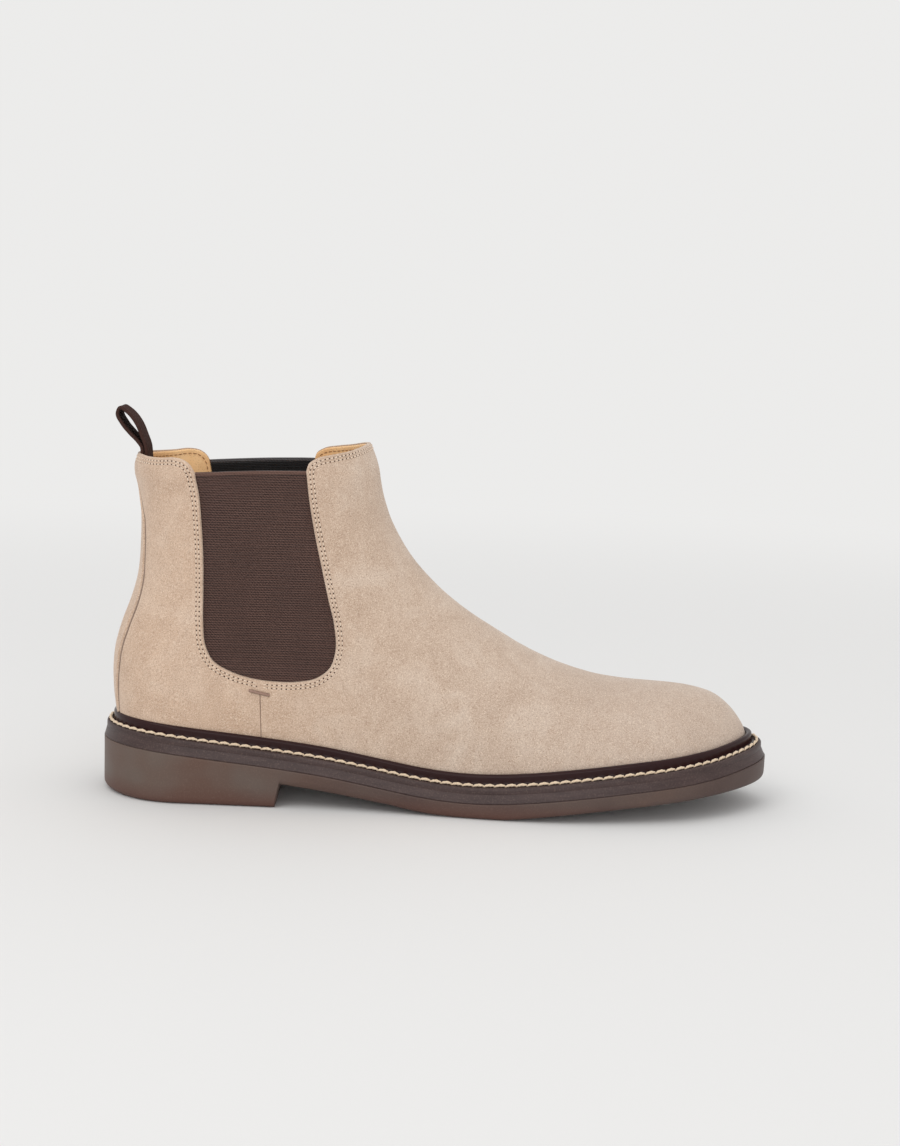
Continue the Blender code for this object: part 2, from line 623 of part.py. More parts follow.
def make_upper(look):
    both = (-1, 1)
    half = GAP / 2
    panel("vamp", vamp_outline(0, half), both, "front", SUEDE, look["suede"])
    panel("vamp_lining", vamp_outline(0.6, half, 1.2), both, "front", LINING, look["lining"], 10)
    for side, word in ((-1, "lateral"), (1, "medial")):
        low = trimmed(quarter_outline(0, -half, None, ANKLE_CUT_Z - GAP))
        high = trimmed(quarter_outline(0, -half, ANKLE_CUT_Z + GAP, None))
        panel("quarter_" + word, low, (side,), "back", SUEDE, look["suede"])
        panel("quarter_top_" + word, high, (side,), "back", SUEDE, look["suede"], 6)
    panel("quarter_lining", quarter_outline(0.6, -half, None, ANKLE_CUT_Z - GAP), both, "back", LINING,
          look["lining"], 10)
    panel("shaft_lining", quarter_outline(0.6, -half, ANKLE_CUT_Z + GAP, None, 1.2), both, "back", LINING,
          look["lining"], 8)
    make_stiffeners(look)
    make_gores(look)


def trimmed(outline):
    """An outline kept half a gap off the back ridge, as it goes along the surface."""
    position, inside = RIDGES["back"].locate(outline)
    normal = RIDGES["back"].at(RIDGES["back"].normals, position)
    depth = RIDGES["back"].at(RIDGES["back"].round, position)
    trim = depth * (1 - np.cos(GAP / 2 / depth))
    return outline - normal * np.maximum(0, trim - inside)[:, None]


def make_stiffeners(look):
    puff_low = foot_z("front", STIFFENER_FOOT)
    edge = spline(PUFF_EDGE, PANEL_STEP)
    edge = edge[(edge[:, 1] < 52) & (edge[:, 1] > table(SOLE_LINE, edge[:, 0]) + STIFFENER_FOOT + 0.5)]
    ridge = ridge_run("front", puff_low, 60)
    ridge = ridge[ridge[:, 0] > 103.5]
    foot = foot_run(ridge_x("front", puff_low), 97.3, "front", STIFFENER_FOOT, 7)[1:]
    panel("toe_puff", joined(ridge[::-1], foot, edge[::-1]), (-1, 1), "front", STIFFENER, look["stiffener"], 7)
    counter_low = foot_z("back", STIFFENER_FOOT)
    edge = spline(COUNTER_EDGE, PANEL_STEP)
    edge = edge[(edge[:, 0] > -146) & (edge[:, 1] > table(SOLE_LINE, edge[:, 0]) + STIFFENER_FOOT + 0.5)]
    ridge = ridge_run("back", counter_low, 78.5)
    foot = foot_run(-92, ridge_x("back", counter_low), "back", STIFFENER_FOOT, 7)[:-1]
    panel("heel_counter", joined(ridge, edge, foot), (-1, 1), "back", STIFFENER, look["stiffener"], 7)


def make_gores(look):
    top_front, top_rear = GORE[-1], GORE[0]
    layers = (("gore_", ELASTIC, 0.2, "elastic"), ("gore_backing_", ELASTIC_BACK, 0.8, "elastic_black"))
    for side, word in ((-1, "lateral"), (1, "medial")):
        for name, layer, drop, colour in layers:
            outline = gore_edge(GORE_MARGIN, 8)
            outline = outline[outline[:, 1] < top_rear[1] - 3]
            high = line((outline[-1, 0], top_front[1] - drop), (outline[0, 0], top_rear[1] - drop), 8)
            panel(name + word, joined(outline, high), (side,), None, layer, look[colour], 8)
        run = np.array([-0.5, 0, 0.5]) * BARTACK_LENGTH
        middle = np.stack([SIDE_SEAM_TOP[0] + run, BARTACK_Z - BARTACK_SLOPE * run], axis=1)
        bar = np.vstack([shifted(middle, dz=-BARTACK_WIDTH / 2), shifted(middle, dz=BARTACK_WIDTH / 2)[::-1]])
        panel("bartack_" + word, bar, (side,), None, BARTACK, look["tack"], 20)


def make_tab(look):
    back = ridge_run("back", ANCHOR_FOOT, ANCHOR_HEAD, 6)
    depth = table(BACK_ROUND, 140)
    edge = shifted(back, depth * (1 - math.cos(TAB_WIDTH / 2 / depth)))
    panel("pull_tab_anchor", joined(back, edge[::-1]), (-1, 1), "back", ANCHOR, look["tape"], 6)
    path = spline(TAB_LOOP, 2.4)
    tab = strip("pull_tab", path, [TAB_WIDTH] * len(path), 0, TAB_THICK, look["tape"])
    set_origin(tab, TAB_PIVOT)


def main():
    remove_all()
    look = {
        "suede": material_of("sand suede", (0.56, 0.44, 0.34), 0.95),
        "lining": material_of("tan lining", (0.62, 0.42, 0.24), 0.6),
        "stiffener": material_of("stiffener", (0.7, 0.66, 0.58), 0.8),
        "elastic": material_of("brown elastic", (0.085, 0.052, 0.045), 0.9),
        "elastic_black": material_of("black elastic", (0.015, 0.015, 0.016), 0.9),
        "tack": material_of("bar tack thread", (0.19, 0.13, 0.1), 0.7),
        "tape": material_of("brown tape", (0.055, 0.035, 0.03), 0.85),
        "welt": material_of("burgundy welt", (0.026, 0.01, 0.011), 0.3),
        "midsole": material_of("brown midsole", (0.085, 0.06, 0.056), 0.5),
        "rubber": material_of("brown rubber", (0.115, 0.078, 0.065), 0.4),
        "thread": material_of("cream thread", (0.68, 0.55, 0.38), 0.6),
        "board": material_of("insole board", (0.42, 0.28, 0.17), 0.8),
        "canvas": material_of("rib canvas", (0.75, 0.7, 0.6), 0.9),
        "cork": material_of("cork", (0.4, 0.24, 0.12), 0.95),
        "steel": material_of("shank steel", (0.5, 0.5, 0.52), 0.35, 1.0),
        "foam": material_of("heel foam", (0.16, 0.14, 0.13), 0.95),
    }
    make_sole(look)
    make_upper(look)
    make_tab(look)


main()
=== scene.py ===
"""The looks of the chelsea boot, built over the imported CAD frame, and the studio it stands in.

Lengths are millimetres until a mesh is made. The upper is one surface seen from the side and lifted outwards;
its skins, linings and threads are stretches of it. The sole's pieces are carried round the upper's foot line.
"""

import math

import bmesh
import bpy
import numpy as np
from mathutils import Matrix, Vector, noise
from mathutils.geometry import delaunay_2d_cdt


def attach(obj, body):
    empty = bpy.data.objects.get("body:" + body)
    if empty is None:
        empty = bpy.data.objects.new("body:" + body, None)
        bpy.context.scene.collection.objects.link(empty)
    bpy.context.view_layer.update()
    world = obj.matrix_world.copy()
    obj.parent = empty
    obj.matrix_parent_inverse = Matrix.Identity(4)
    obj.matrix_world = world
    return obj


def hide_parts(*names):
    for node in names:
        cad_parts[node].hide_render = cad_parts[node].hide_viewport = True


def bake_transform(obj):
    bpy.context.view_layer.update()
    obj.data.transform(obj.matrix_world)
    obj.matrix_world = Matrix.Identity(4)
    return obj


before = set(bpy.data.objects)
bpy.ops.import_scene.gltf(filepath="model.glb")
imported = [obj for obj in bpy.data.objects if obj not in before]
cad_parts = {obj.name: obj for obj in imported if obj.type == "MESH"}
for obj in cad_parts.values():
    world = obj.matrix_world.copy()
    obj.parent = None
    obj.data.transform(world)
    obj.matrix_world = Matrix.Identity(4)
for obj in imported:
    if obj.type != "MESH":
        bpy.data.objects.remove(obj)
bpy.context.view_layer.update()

MM = 0.001

# ---- the boot's shape, in the side view (x, z) ----

BACK = [(-144, 14), (-146.8, 26), (-148.8, 38), (-149.9, 48), (-150, 57), (-148.9, 68), (-145.9, 78),
        (-142.2, 88), (-139.2, 99), (-138.1, 114), (-138.2, 130), (-138.9, 144), (-139.3, 154.3),
        (-140.3, 176)]
FRONT = [(-43, 180), (-34.8, 162), (-31, 152.5), (-28.3, 139.5), (-24.4, 127.2), (-19.6, 118.2),
         (-13.2, 108.9), (-4.7, 99.7), (3.2, 92.6), (11.7, 86.4), (27.7, 76.3), (41.2, 68.9), (55.2, 62.8),
         (70.2, 58.2), (84.1, 56), (98, 54.9), (109, 54.2), (118, 53), (126.8, 50.6), (133.8, 46),
         (139.2, 40), (142.6, 34.6), (144.2, 27), (144.5, 14)]
BACK_ROUND = [(20, 31), (50, 33), (80, 36), (110, 40), (135, 39), (160, 36)]
FRONT_ROUND = [(-40, 32), (-25, 38), (0, 48), (50, 45), (90, 39), (118, 31), (140, 26)]
CENTRE = [(-150, 0), (-80, -0.5), (-30, -1.5), (20, -1), (70, 0), (110, 2), (145, 3.5)]
FOOT_WIDTH = {
    -1: [(-150, 29.5), (-80, 30), (-40, 31), (0, 36), (30, 41), (60, 43.5), (85, 42.5), (100, 40),
         (110, 36.5), (119, 31.5), (130, 26), (137, 23), (146, 20)],
    1: [(-150, 29.5), (-80, 29), (-45, 27), (-20, 27), (0, 30), (30, 38), (60, 43), (78, 43.5), (100, 39.5),
        (110, 36), (119, 31.5), (130, 26.5), (137, 23.5), (146, 20.5)],
}
SHAFT_WIDTH = [(60, 30.5), (90, 30.5), (115, 32), (150, 34.5), (175, 35)]
SHAFT_FROM, SHAFT_TO = 42, 100
COLLAR_BULGE, COLLAR_Z, COLLAR_REACH = 2.3, 147, 6

GORE = [(-110.3, 148), (-109, 139.4), (-107.7, 125.2), (-106.8, 110.4), (-106.5, 95.2), (-106.2, 80.8),
        (-105, 70.9), (-101.5, 64.2), (-94, 59.7), (-84.3, 56.8), (-74, 55.7), (-64.2, 55.9), (-54.8, 58.2),
        (-49.4, 62.9), (-47.2, 69.8), (-47.9, 82), (-50.8, 93.8), (-53.7, 106.7), (-57.1, 122),
        (-59.9, 137.4), (-61.5, 150.5)]
QUARTER_TOP = [(-139.3, 154.3), (-133.5, 153.9), (-127, 153.9), (-120.5, 154.4), (-116, 153.6),
               (-112.6, 151.4), (-110.3, 148)]
VAMP_TOP = [(-61.5, 150.5), (-60.3, 154), (-56.8, 156.4), (-49.5, 158.2), (-42.5, 159.6), (-34.8, 162)]
SIDE_SEAM_HEAD_X, SIDE_SEAM_FOOT_X = -80.5, -79
GORE_CURL_Z, FOOT_BELOW_Z = 70, 36
SEAM_GAP, SEAM_CLOSED_Z = 0.07, 51.2
BACK_SEAM = [(20, -10), (35, -12.5), (45, -13.5), (60, -14.8), (75, -15.2), (90, -14.8), (105, -13.2),
             (125, -12.6), (133, -9), (141, -3), (148, 0), (170, 0)]  # z, y

SOLE_LINE = [(-155, 24.6), (-139, 24.2), (-126, 23.4), (-105, 21.3), (-73, 18.2), (-52, 15.7), (-33, 12.7),
             (-21, 10.7), (-8, 8.7), (0, 7.8), (11, 7.2), (28, 7.7), (42, 9), (57, 10.8), (83, 13.9),
             (110, 16.8), (124, 18.4), (136, 20.2), (155, 23)]
WAIST_LINE = [(-70, 10.5), (-52, 8.2), (-31, 5.1), (-20, 3.4), (-12, 1.9), (-2, 0.6), (8, 0)]
TOE_LINE = [(30, 0), (38, 0.9), (50, 2.5), (66, 4.6), (85, 6.8), (105, 8.7), (125, 10.3), (153, 12)]
BALL_X = 20
HEEL_BREAST_FOOT, HEEL_BREAST_HEAD = -72.2, -70
WELT_EDGE = [(-152, 4.0), (-120, 5.2), (-70, 6.4), (60, 6.4), (120, 6.4), (146, 6.6)]
OUTSOLE_EXTRA = [(-152, 0.7), (-60, 0.9), (90, 1.2), (120, 1.4), (148, 1.6)]
MIDSOLE_THICK, WELT_THICK, RIB_HEIGHT = 3.6, 3.0, 4.8
SHELF = MIDSOLE_THICK + 0.4
WELT_TOP = SHELF + WELT_THICK
UPPER_FOOT = MIDSOLE_THICK + 1.0
FOOT_LINE_HEIGHT = 8

SIDES = (-1, 1)  # lateral, medial
OUTLINE_STEP = 1.2
RIDGE_STEP, RIDGE_SMOOTHINGS = 0.5, 40
BATCH = 2000
HEM_ROWS = (0.25, 0.6, 1.05, 1.5, 1.9, 2.25, 2.6, 3.0, 3.45, 4.2)
LINING_ROWS = (0.3, 0.8, 1.5, 2.4, 3.6, 5.2)
CREASE_ROWS = (-3.2, -2.2, -1.4, -0.8, -0.35, 0, 0.35, 0.8, 1.4, 2.2, 3.2)
STITCH_ROWS, STITCH_PITCH = (1.5, 2.95), 2.15
SUEDE_THICK = 1.7


def along(knots, values, where):
    """A smooth curve of value against knot, held level past both ends."""
    knots, values = np.asarray(knots, float), np.asarray(values, float)
    slopes = np.gradient(values, knots)
    where = np.clip(where, knots[0], knots[-1])
    i = np.clip(np.searchsorted(knots, where, side="right") - 1, 0, len(knots) - 2)
    width = knots[i + 1] - knots[i]
    t = (where - knots[i]) / width
    return ((1 + 2 * t) * (1 - t) ** 2 * values[i] + t * (1 - t) ** 2 * width * slopes[i]
            + t * t * (3 - 2 * t) * values[i + 1] + t * t * (t - 1) * width * slopes[i + 1])


def table(pairs, where):
    knots, values = zip(*pairs)
    return along(knots, values, where)


def unit(vectors):
    return vectors / np.linalg.norm(vectors, axis=1)[:, None]


def tangents_of(points):
    return unit(np.gradient(points, axis=0))


def turned_left(vectors):
    return np.stack([-vectors[:, 1], vectors[:, 0]], axis=1)


def lengths_of(points):
    return np.concatenate([[0], np.cumsum(np.linalg.norm(np.diff(points, axis=0), axis=1))])


def walked(points, wanted, lengths):
    """Places at the wanted lengths along a line whose points stand at the given lengths."""
    return np.stack([np.interp(wanted, lengths, column) for column in points.T], axis=1)


def resample(points, step, lengths=None):
    """The line with its points a step apart, along itself or along the lengths given for its points."""
    lengths = lengths_of(points) if lengths is None else lengths
    return walked(points, np.linspace(0, lengths[-1], max(2, int(round(lengths[-1] / step)) + 1)), lengths)


def spline(points, step):
    points = np.asarray(points, float)
    knots = lengths_of(points)
    fine = np.linspace(0, knots[-1], 120 * len(points))
    return resample(np.stack([along(knots, column, fine) for column in points.T], axis=1), step)


def smoothstep(t):
    t = np.clip(t, 0, 1)
    return t * t * (3 - 2 * t)


def bell(t):
    return np.exp(-t * t)


class Ridge:
    """One edge of the side view, where the surface turns over from the outer to the inner side."""

    def __init__(self, points, rounding, rounding_axis):
        self.points = spline(points, RIDGE_STEP)
        for _ in range(RIDGE_SMOOTHINGS):
            self.points[1:-1] = (self.points[:-2] + 2 * self.points[1:-1] + self.points[2:]) / 4
        self.tangents = tangents_of(self.points)
        self.normals = turned_left(self.tangents)
        self.round = table(rounding, self.points[:, rounding_axis])

    def locate(self, places):
        """How far along the edge each place is, counted in its points, and how deep inside the edge."""
        position, inside = np.empty(len(places)), np.empty(len(places))
        for start in range(0, len(places), BATCH):
            batch = slice(start, start + BATCH)
            some = places[batch]
            away = ((some[:, None] - self.points[None]) ** 2).sum(axis=2)
            i = np.clip(away.argmin(axis=1), 1, len(self.points) - 2)
            lead = [((some - self.points[k]) * self.tangents[k]).sum(axis=1) for k in (i - 1, i, i + 1)]
            ahead = lead[1] > 0
            first, second = np.where(ahead, lead[1], lead[0]), np.where(ahead, lead[2], lead[1])
            at = i - 1 + ahead + np.clip(first / (first - second), 0, 1)
            position[batch] = at
            inside[batch] = -((some - self.at(self.points, at)) * self.at(self.normals, at)).sum(axis=1)
        return position, inside

    def at(self, values, position):
        low = np.clip(position.astype(int), 0, len(values) - 2)
        t = position - low
        t = t[:, None] if values.ndim == 2 else t
        return values[low] * (1 - t) + values[low + 1] * t

    def inward(self, position, depth):
        return self.at(self.points, position) - self.at(self.normals, position) * depth[:, None]

    def turn(self, position, inside):
        depth = self.at(self.round, position)
        return np.where(inside < depth, np.arccos(np.clip(1 - inside / depth, -1, 1)), math.pi / 2)

    def flatten(self, places):
        """Side-view places with the turn over the ridge rolled out flat."""
        position, inside = self.locate(places)
        inside = np.maximum(inside, 0)
        depth = self.at(self.round, position)
        rolled = depth * (self.turn(position, inside) - math.pi / 2 + 1)
        return np.where((inside < depth)[:, None], self.inward(position, rolled), places)

    def roll(self, flat):
        """The side-view places and turn angles of rolled-out places."""
        position, rolled = self.locate(flat)
        depth = self.at(self.round, position)
        angle = np.clip(rolled / depth + math.pi / 2 - 1, -math.pi / 2, math.pi / 2)
        moved = self.inward(position, depth * (1 - np.cos(angle)))
        return np.where((rolled < depth)[:, None], moved, flat), angle


RIDGES = {"back": Ridge(BACK, BACK_ROUND, 1), "front": Ridge(FRONT, FRONT_ROUND, 0)}


def half_width(side, x, z):
    foot, shaft = table(FOOT_WIDTH[side], x), table(SHAFT_WIDTH, z)
    return foot + (shaft - foot) * smoothstep((z - SHAFT_FROM) / (SHAFT_TO - SHAFT_FROM))


def lift(flat, side, ridge):
    """Points of the surface over rolled-out places; ridge None means plain side-view places."""
    places, turns = flat, {}
    if ridge:
        places, turns[ridge] = RIDGES[ridge].roll(flat)
    for name in RIDGES:
        if name != ridge:
            turns[name] = RIDGES[name].turn(*RIDGES[name].locate(places))
    x, z = places.T
    y = table(CENTRE, x) + side * half_width(side, x, z) * np.sin(turns["back"]) * np.sin(turns["front"])
    collar = COLLAR_BULGE * bell((z - COLLAR_Z) / COLLAR_REACH) * np.cos(turns["back"])
    return np.stack([x - collar, y, z], axis=1)


def surface(flat, side, ridge):
    """Points of the surface and its outward normals."""
    slopes = [lift(flat + reach, side, ridge) - lift(flat - reach, side, ridge) for reach in 0.2 * np.eye(2)]
    return lift(flat, side, ridge), unit(-side * np.cross(*slopes))


def inside_polygon(places, polygon):
    found = np.zeros(len(places), bool)
    for (x1, z1), (x2, z2) in zip(polygon, np.roll(polygon, -1, axis=0)):
        crosses = (z1 > places[:, 1]) != (z2 > places[:, 1])
        with np.errstate(divide="ignore", invalid="ignore"):
            found ^= crosses & (places[:, 0] < (x2 - x1) * (places[:, 1] - z1) / (z2 - z1) + x1)
    return found


def distance(places, points):
    """From each place to the nearest of the points."""
    if not len(points):
        return np.full(len(places), 1e3)
    found = np.empty(len(places))
    for start in range(0, len(places), BATCH):
        some = places[start:start + BATCH]
        found[start:start + BATCH] = np.sqrt(((some[:, None] - points[None]) ** 2).sum(axis=2).min(axis=1))
    return found


# ---- outlines of the upper's pieces ----

def ridge_run(name, low_z, high_z, step=OUTLINE_STEP):
    points = RIDGES[name].points
    if name == "front":
        points = points[::-1]
    return resample(points[(points[:, 1] >= low_z) & (points[:, 1] <= high_z)], step)


def even(points, ridge):
    """Side-view points spaced evenly over the surface, where it turns over a ridge."""
    return resample(points, OUTLINE_STEP, lengths_of(RIDGES[ridge].flatten(points)))


def foot_run(x_from, x_to, ridge):
    x = np.linspace(x_from, x_to, 1500)
    return even(np.stack([x, table(SOLE_LINE, x) + UPPER_FOOT], axis=1), ridge)[1:-1]


def top_run(points, drop, ridge):
    return even(spline(np.asarray(points) - [0, drop], 0.1), ridge)[1:-1]


def joined(*runs):
    points = np.vstack(runs)
    return points[np.linalg.norm(points - np.roll(points, 1, axis=0), axis=1) > 0.05]


def gore_edge(grow, step=OUTLINE_STEP):
    points = spline(GORE, step)
    return points - grow * turned_left(tangents_of(points))


def gore_split(grow):
    """The elastic's edge behind the side seam's head, and before it."""
    points = gore_edge(grow)
    cut = int((np.abs(points[:, 0] - SIDE_SEAM_HEAD_X) + 1000 * (points[:, 1] > GORE_CURL_Z)).argmin())
    return points[:cut + 1], points[cut:]


def seam_ends(shift, grow):
    low = gore_edge(grow)
    low = low[low[:, 1] < GORE_CURL_Z]
    head_x, foot_x = SIDE_SEAM_HEAD_X, SIDE_SEAM_FOOT_X + shift
    return ((head_x, float(np.interp(head_x, low[:, 0], low[:, 1]))),
            (foot_x, float(table(SOLE_LINE, foot_x)) + UPPER_FOOT))


def seam_run(head, foot, shift):
    """The side seam from its foot up: two edges a little apart, which close under the bar tack."""
    run = resample(np.array([foot, head]), OUTLINE_STEP)
    middle = np.interp(run[:, 1], [foot[1], head[1]], [foot[0] - shift, head[0]])
    run[:, 0] = middle + shift * smoothstep((SEAM_CLOSED_Z - run[:, 1]) / 2)
    return run[1:-1]


def ridge_x(name, z):
    points = RIDGES[name].points
    order = points[:, 1].argsort()
    return float(np.interp(z, points[order, 1], points[order, 0]))


def foot_z(name, above=UPPER_FOOT):
    points = RIDGES[name].points
    points = points[points[:, 1] < FOOT_BELOW_Z]
    return float(points[np.abs(points[:, 1] - table(SOLE_LINE, points[:, 0]) - above).argmin(), 1])


def vamp_outline(grow, seam_shift, top_drop=0.0):
    toe_z = foot_z("front")
    head, foot = seam_ends(seam_shift, grow)
    front = gore_split(grow)[1]
    front = front[front[:, 0] > head[0] + 0.6]
    corner = (front[-1, 0], min(front[-1, 1], VAMP_TOP[0][1] - top_drop))
    return joined(ridge_run("front", toe_z, VAMP_TOP[-1][1] - top_drop)[::-1],
                  foot_run(ridge_x("front", toe_z), foot[0], "front"),
                  [foot], seam_run(head, foot, seam_shift), [head], front[:-1], [corner],
                  top_run(VAMP_TOP, top_drop, "front"))


def quarter_outline(grow, seam_shift, top_drop=0.0):
    heel_z = foot_z("back")
    head, foot = seam_ends(seam_shift, grow)
    rear = gore_split(grow)[0]
    rear = rear[(rear[:, 1] < QUARTER_TOP[-1][1] - top_drop + 0.3) & (rear[:, 0] < head[0] - 0.6)]
    return joined(ridge_run("back", heel_z, QUARTER_TOP[0][1] - top_drop),
                  top_run(QUARTER_TOP, top_drop, "back"), rear,
                  [head], seam_run(head, foot, seam_shift)[::-1], [foot],
                  foot_run(foot[0], ridge_x("back", heel_z), "back"))


# ---- meshes ----

def placed(name, data):
    made = bpy.data.objects.new(name, data)
    bpy.context.scene.collection.objects.link(made)
    return made


def mesh_object(name, points, faces, material, smooth_angle):
    """A mesh in metres from points in millimetres, shaded smooth but for its sharp edges."""
    mesh = bpy.data.meshes.new(name)
    mesh.from_pydata((np.asarray(points) * MM).tolist(), [], faces)
    work = bmesh.new()
    work.from_mesh(mesh)
    bmesh.ops.recalc_face_normals(work, faces=work.faces)
    if work.calc_volume(signed=True) < 0:
        bmesh.ops.reverse_faces(work, faces=work.faces)
    work.to_mesh(mesh)
    work.free()
    mesh.shade_smooth()
    if smooth_angle:
        mesh.set_sharp_from_angle(angle=math.radians(smooth_angle))
    mesh.materials.append(material)
    return placed(name, mesh)


class Pile:
    """Many small closed shapes gathered into one mesh."""

    def __init__(self):
        self.points, self.faces, self.count = [], [], 0

    def add(self, points, faces):
        self.points.append(points)
        self.faces += [[k + self.count for k in face] for face in faces]
        self.count += len(points)

    def made(self, name, material):
        return mesh_object(name, np.vstack(self.points), self.faces, material, None)


def quads(rows, columns, ring_of_rows=False, open_rows=False):
    """Faces over rows of points. Each row is a ring unless it is open, and the rows too can be a ring."""
    return [[i * columns + k, i * columns + (k + 1) % columns, (i + 1) % rows * columns + (k + 1) % columns,
             (i + 1) % rows * columns + k]
            for i in range(rows if ring_of_rows else rows - 1) for k in range(columns - open_rows)]


def capped(rows, columns):
    last = (rows - 1) * columns
    return quads(rows, columns) + [list(range(columns))[::-1], list(range(last, last + columns))]


def tube(path, up, radii, sides=6, lobes=0.0, twist=0.0):
    """A closed round bar along a path; with lobes it is a twisted thread."""
    angles = np.linspace(0, 2 * math.pi, sides, endpoint=False)
    across = np.cross(tangents_of(path), up)
    rings = []
    for i in range(len(path)):
        size = radii[i] * (1 + lobes * np.cos(2 * (angles - twist * i)))
        sideways, upwards = (size * np.cos(angles))[:, None], (size * np.sin(angles))[:, None]
        rings.append(path[i] + across[i] * sideways + up[i] * upwards)
    return np.vstack(rings), capped(len(path), sides)


def bumps(points, size, seed):
    """Smooth noise, about -1 to 1, at points in millimetres."""
    return np.array([noise.noise(Vector(p) / size + Vector((seed, seed, seed))) for p in points])


# ---- the upper's skins ----

def near_side_seam(outline, reach, below):
    return (np.abs(outline[:, 0] - SIDE_SEAM_HEAD_X) < reach) & (outline[:, 1] < below)


def edges_of(outline, ridge):
    """An outline rolled out, and which of its points stand on the ridge and which at the foot."""
    flat = RIDGES[ridge].flatten(outline)
    at_foot = outline[:, 1] - table(SOLE_LINE, outline[:, 0]) - UPPER_FOOT < 0.3
    return flat, RIDGES[ridge].roll(flat)[1] < 0.03, at_foot


class Net:
    """Fine triangles over a rolled-out outline, with close rows of points along its hems and any crease."""

    def __init__(self, outline, ridge, step, rows, crease=None):
        flat, on_ridge, at_foot = edges_of(outline, ridge)
        # Above the bar tack the two skins meet without an edge.
        closed_seam = near_side_seam(outline, 0.3, 56.2) & (outline[:, 1] > SEAM_CLOSED_Z)
        hem = ~on_ridge & ~at_foot & ~closed_seam
        area = (flat[:, 0] * np.roll(flat[:, 1], -1) - np.roll(flat[:, 0], -1) * flat[:, 1]).sum()
        inward = turned_left(unit(np.roll(flat, -1, axis=0) - np.roll(flat, 1, axis=0))) * np.sign(area)
        close = dense(flat, np.ones(len(flat), bool))
        parts = [flat]
        for offset in rows:
            row = (flat + inward * offset)[hem]
            row = row[inside_polygon(row, flat)]
            parts.append(row[distance(row, close) > 0.93 * offset])
        for offset in CREASE_ROWS if crease is not None else ():
            row = crease + turned_left(tangents_of(crease)) * offset
            row = row[inside_polygon(row, flat)]
            row = row[distance(row, close) > 0.45]
            parts.append(row[distance(row, np.vstack(parts[1:])) > 0.3])
        fixed = np.vstack(parts)
        low, high = flat.min(axis=0), flat.max(axis=0)
        height = step * math.sqrt(0.75)
        lattice = np.array([(low[0] + step * (i + 0.5 * (j % 2)), low[1] + height * (j + 0.5))
                            for j in range(int((high[1] - low[1]) / height) + 1)
                            for i in range(int((high[0] - low[0]) / step) + 2)])
        lattice = lattice[inside_polygon(lattice, flat)]
        places = np.vstack([fixed, lattice[distance(lattice, fixed) > 0.6 * step]])
        made = delaunay_2d_cdt([Vector(p) for p in places], [], [list(range(len(flat)))], 1, 1e-4)
        self.ridge = ridge
        self.places = np.array([tuple(v) for v in made[0]])
        self.corners = made[2]
        self.on_ridge = np.append(on_ridge, np.zeros(len(self.places) - len(flat), bool))
        self.inset = distance(self.places, dense(flat, hem))
        self.from_stitched = distance(self.places, dense(flat, hem & ~near_side_seam(outline, 2.5, 56)))

    def sheet(self, top, under):
        """A sheet over both sides: its outer and inner points, its faces, and the side of each face."""
        count, new = len(self.places), np.ones(len(self.places), bool)
        index = np.arange(count)
        layers, faces, owner = [], [], []
        for side in SIDES:
            here, outward = surface(self.places, side, self.ridge)
            depths = top(self, here, side), under(self, here, side)
            here[self.on_ridge, 1] = table(CENTRE, here[self.on_ridge, 0])
            outward[self.on_ridge, 1] = 0
            outward = unit(outward)
            layers.append([(here - outward * depth[:, None])[new] for depth in depths])
            faces += [[int(index[k]) for k in corners][::-side] for corners in self.corners]
            owner += [side] * len(self.corners)
            new = ~self.on_ridge
            index = np.where(new, count + np.cumsum(new) - 1, index)
        outer, inner = (np.vstack(layer) for layer in zip(*layers))
        return outer, inner, faces, np.array(owner)


def dense(flat, keep):
    """Points every 0.25 mm along the kept stretches of a closed outline."""
    after, also = np.roll(flat, -1, axis=0), np.roll(keep, -1)
    t = np.linspace(0, 1, 5, endpoint=False)
    runs = [a + (b - a) * t[:, None] for a, b, k, j in zip(flat, after, keep, also) if k and j]
    return np.vstack(runs) if runs else np.empty((0, 2))


def solid(name, outer, inner, faces, material):
    """A sheet of triangles between two surfaces, with walls round it."""
    used = sorted({k for face in faces for k in face})
    number = {k: i for i, k in enumerate(used)}
    faces = [[number[k] for k in face] for face in faces]
    count = len(used)
    sides = {(a, b) for face in faces for a, b in zip(face, face[1:] + face[:1])}
    walls = [[a, a + count, b + count, b] for a, b in sides if (b, a) not in sides]
    under = [[k + count for k in face[::-1]] for face in faces]
    return mesh_object(name, np.vstack([outer[used], inner[used]]), faces + under + walls, material, 50)


def hem_depth(inset, radius=0.8):
    """How far a rounded cut edge falls away near the hem."""
    t = np.clip(1 - inset / radius, 0, 1)
    return radius * (1 - np.sqrt(np.maximum(0, 1 - t * t)))


def stitch_grooves(inset):
    rows = sum(bell((inset - row) / 0.34) for row in STITCH_ROWS)
    return 0.26 * rows - 0.10 * bell((inset - 2.2) / 0.4) - 0.06 * bell((inset - 3.8) / 0.5)


def back_seam_y(z):
    return np.interp(z, *zip(*BACK_SEAM))


def back_seam_line():
    """The back seam as rolled-out places of the lateral side."""
    ridge = RIDGES["back"]
    run = ridge_run("back", foot_z("back"), QUARTER_TOP[0][1], 0.7)
    position, _ = ridge.locate(run)
    angle = np.arcsin(np.clip(-back_seam_y(run[:, 1]) / half_width(-1, *run.T), 0, 0.9))
    return ridge.inward(position, ridge.at(ridge.round, position) * (angle - math.pi / 2 + 1))


def past_back_seam(points):
    return points[:, 1] > back_seam_y(points[:, 2]) + table(CENTRE, points[:, 0])


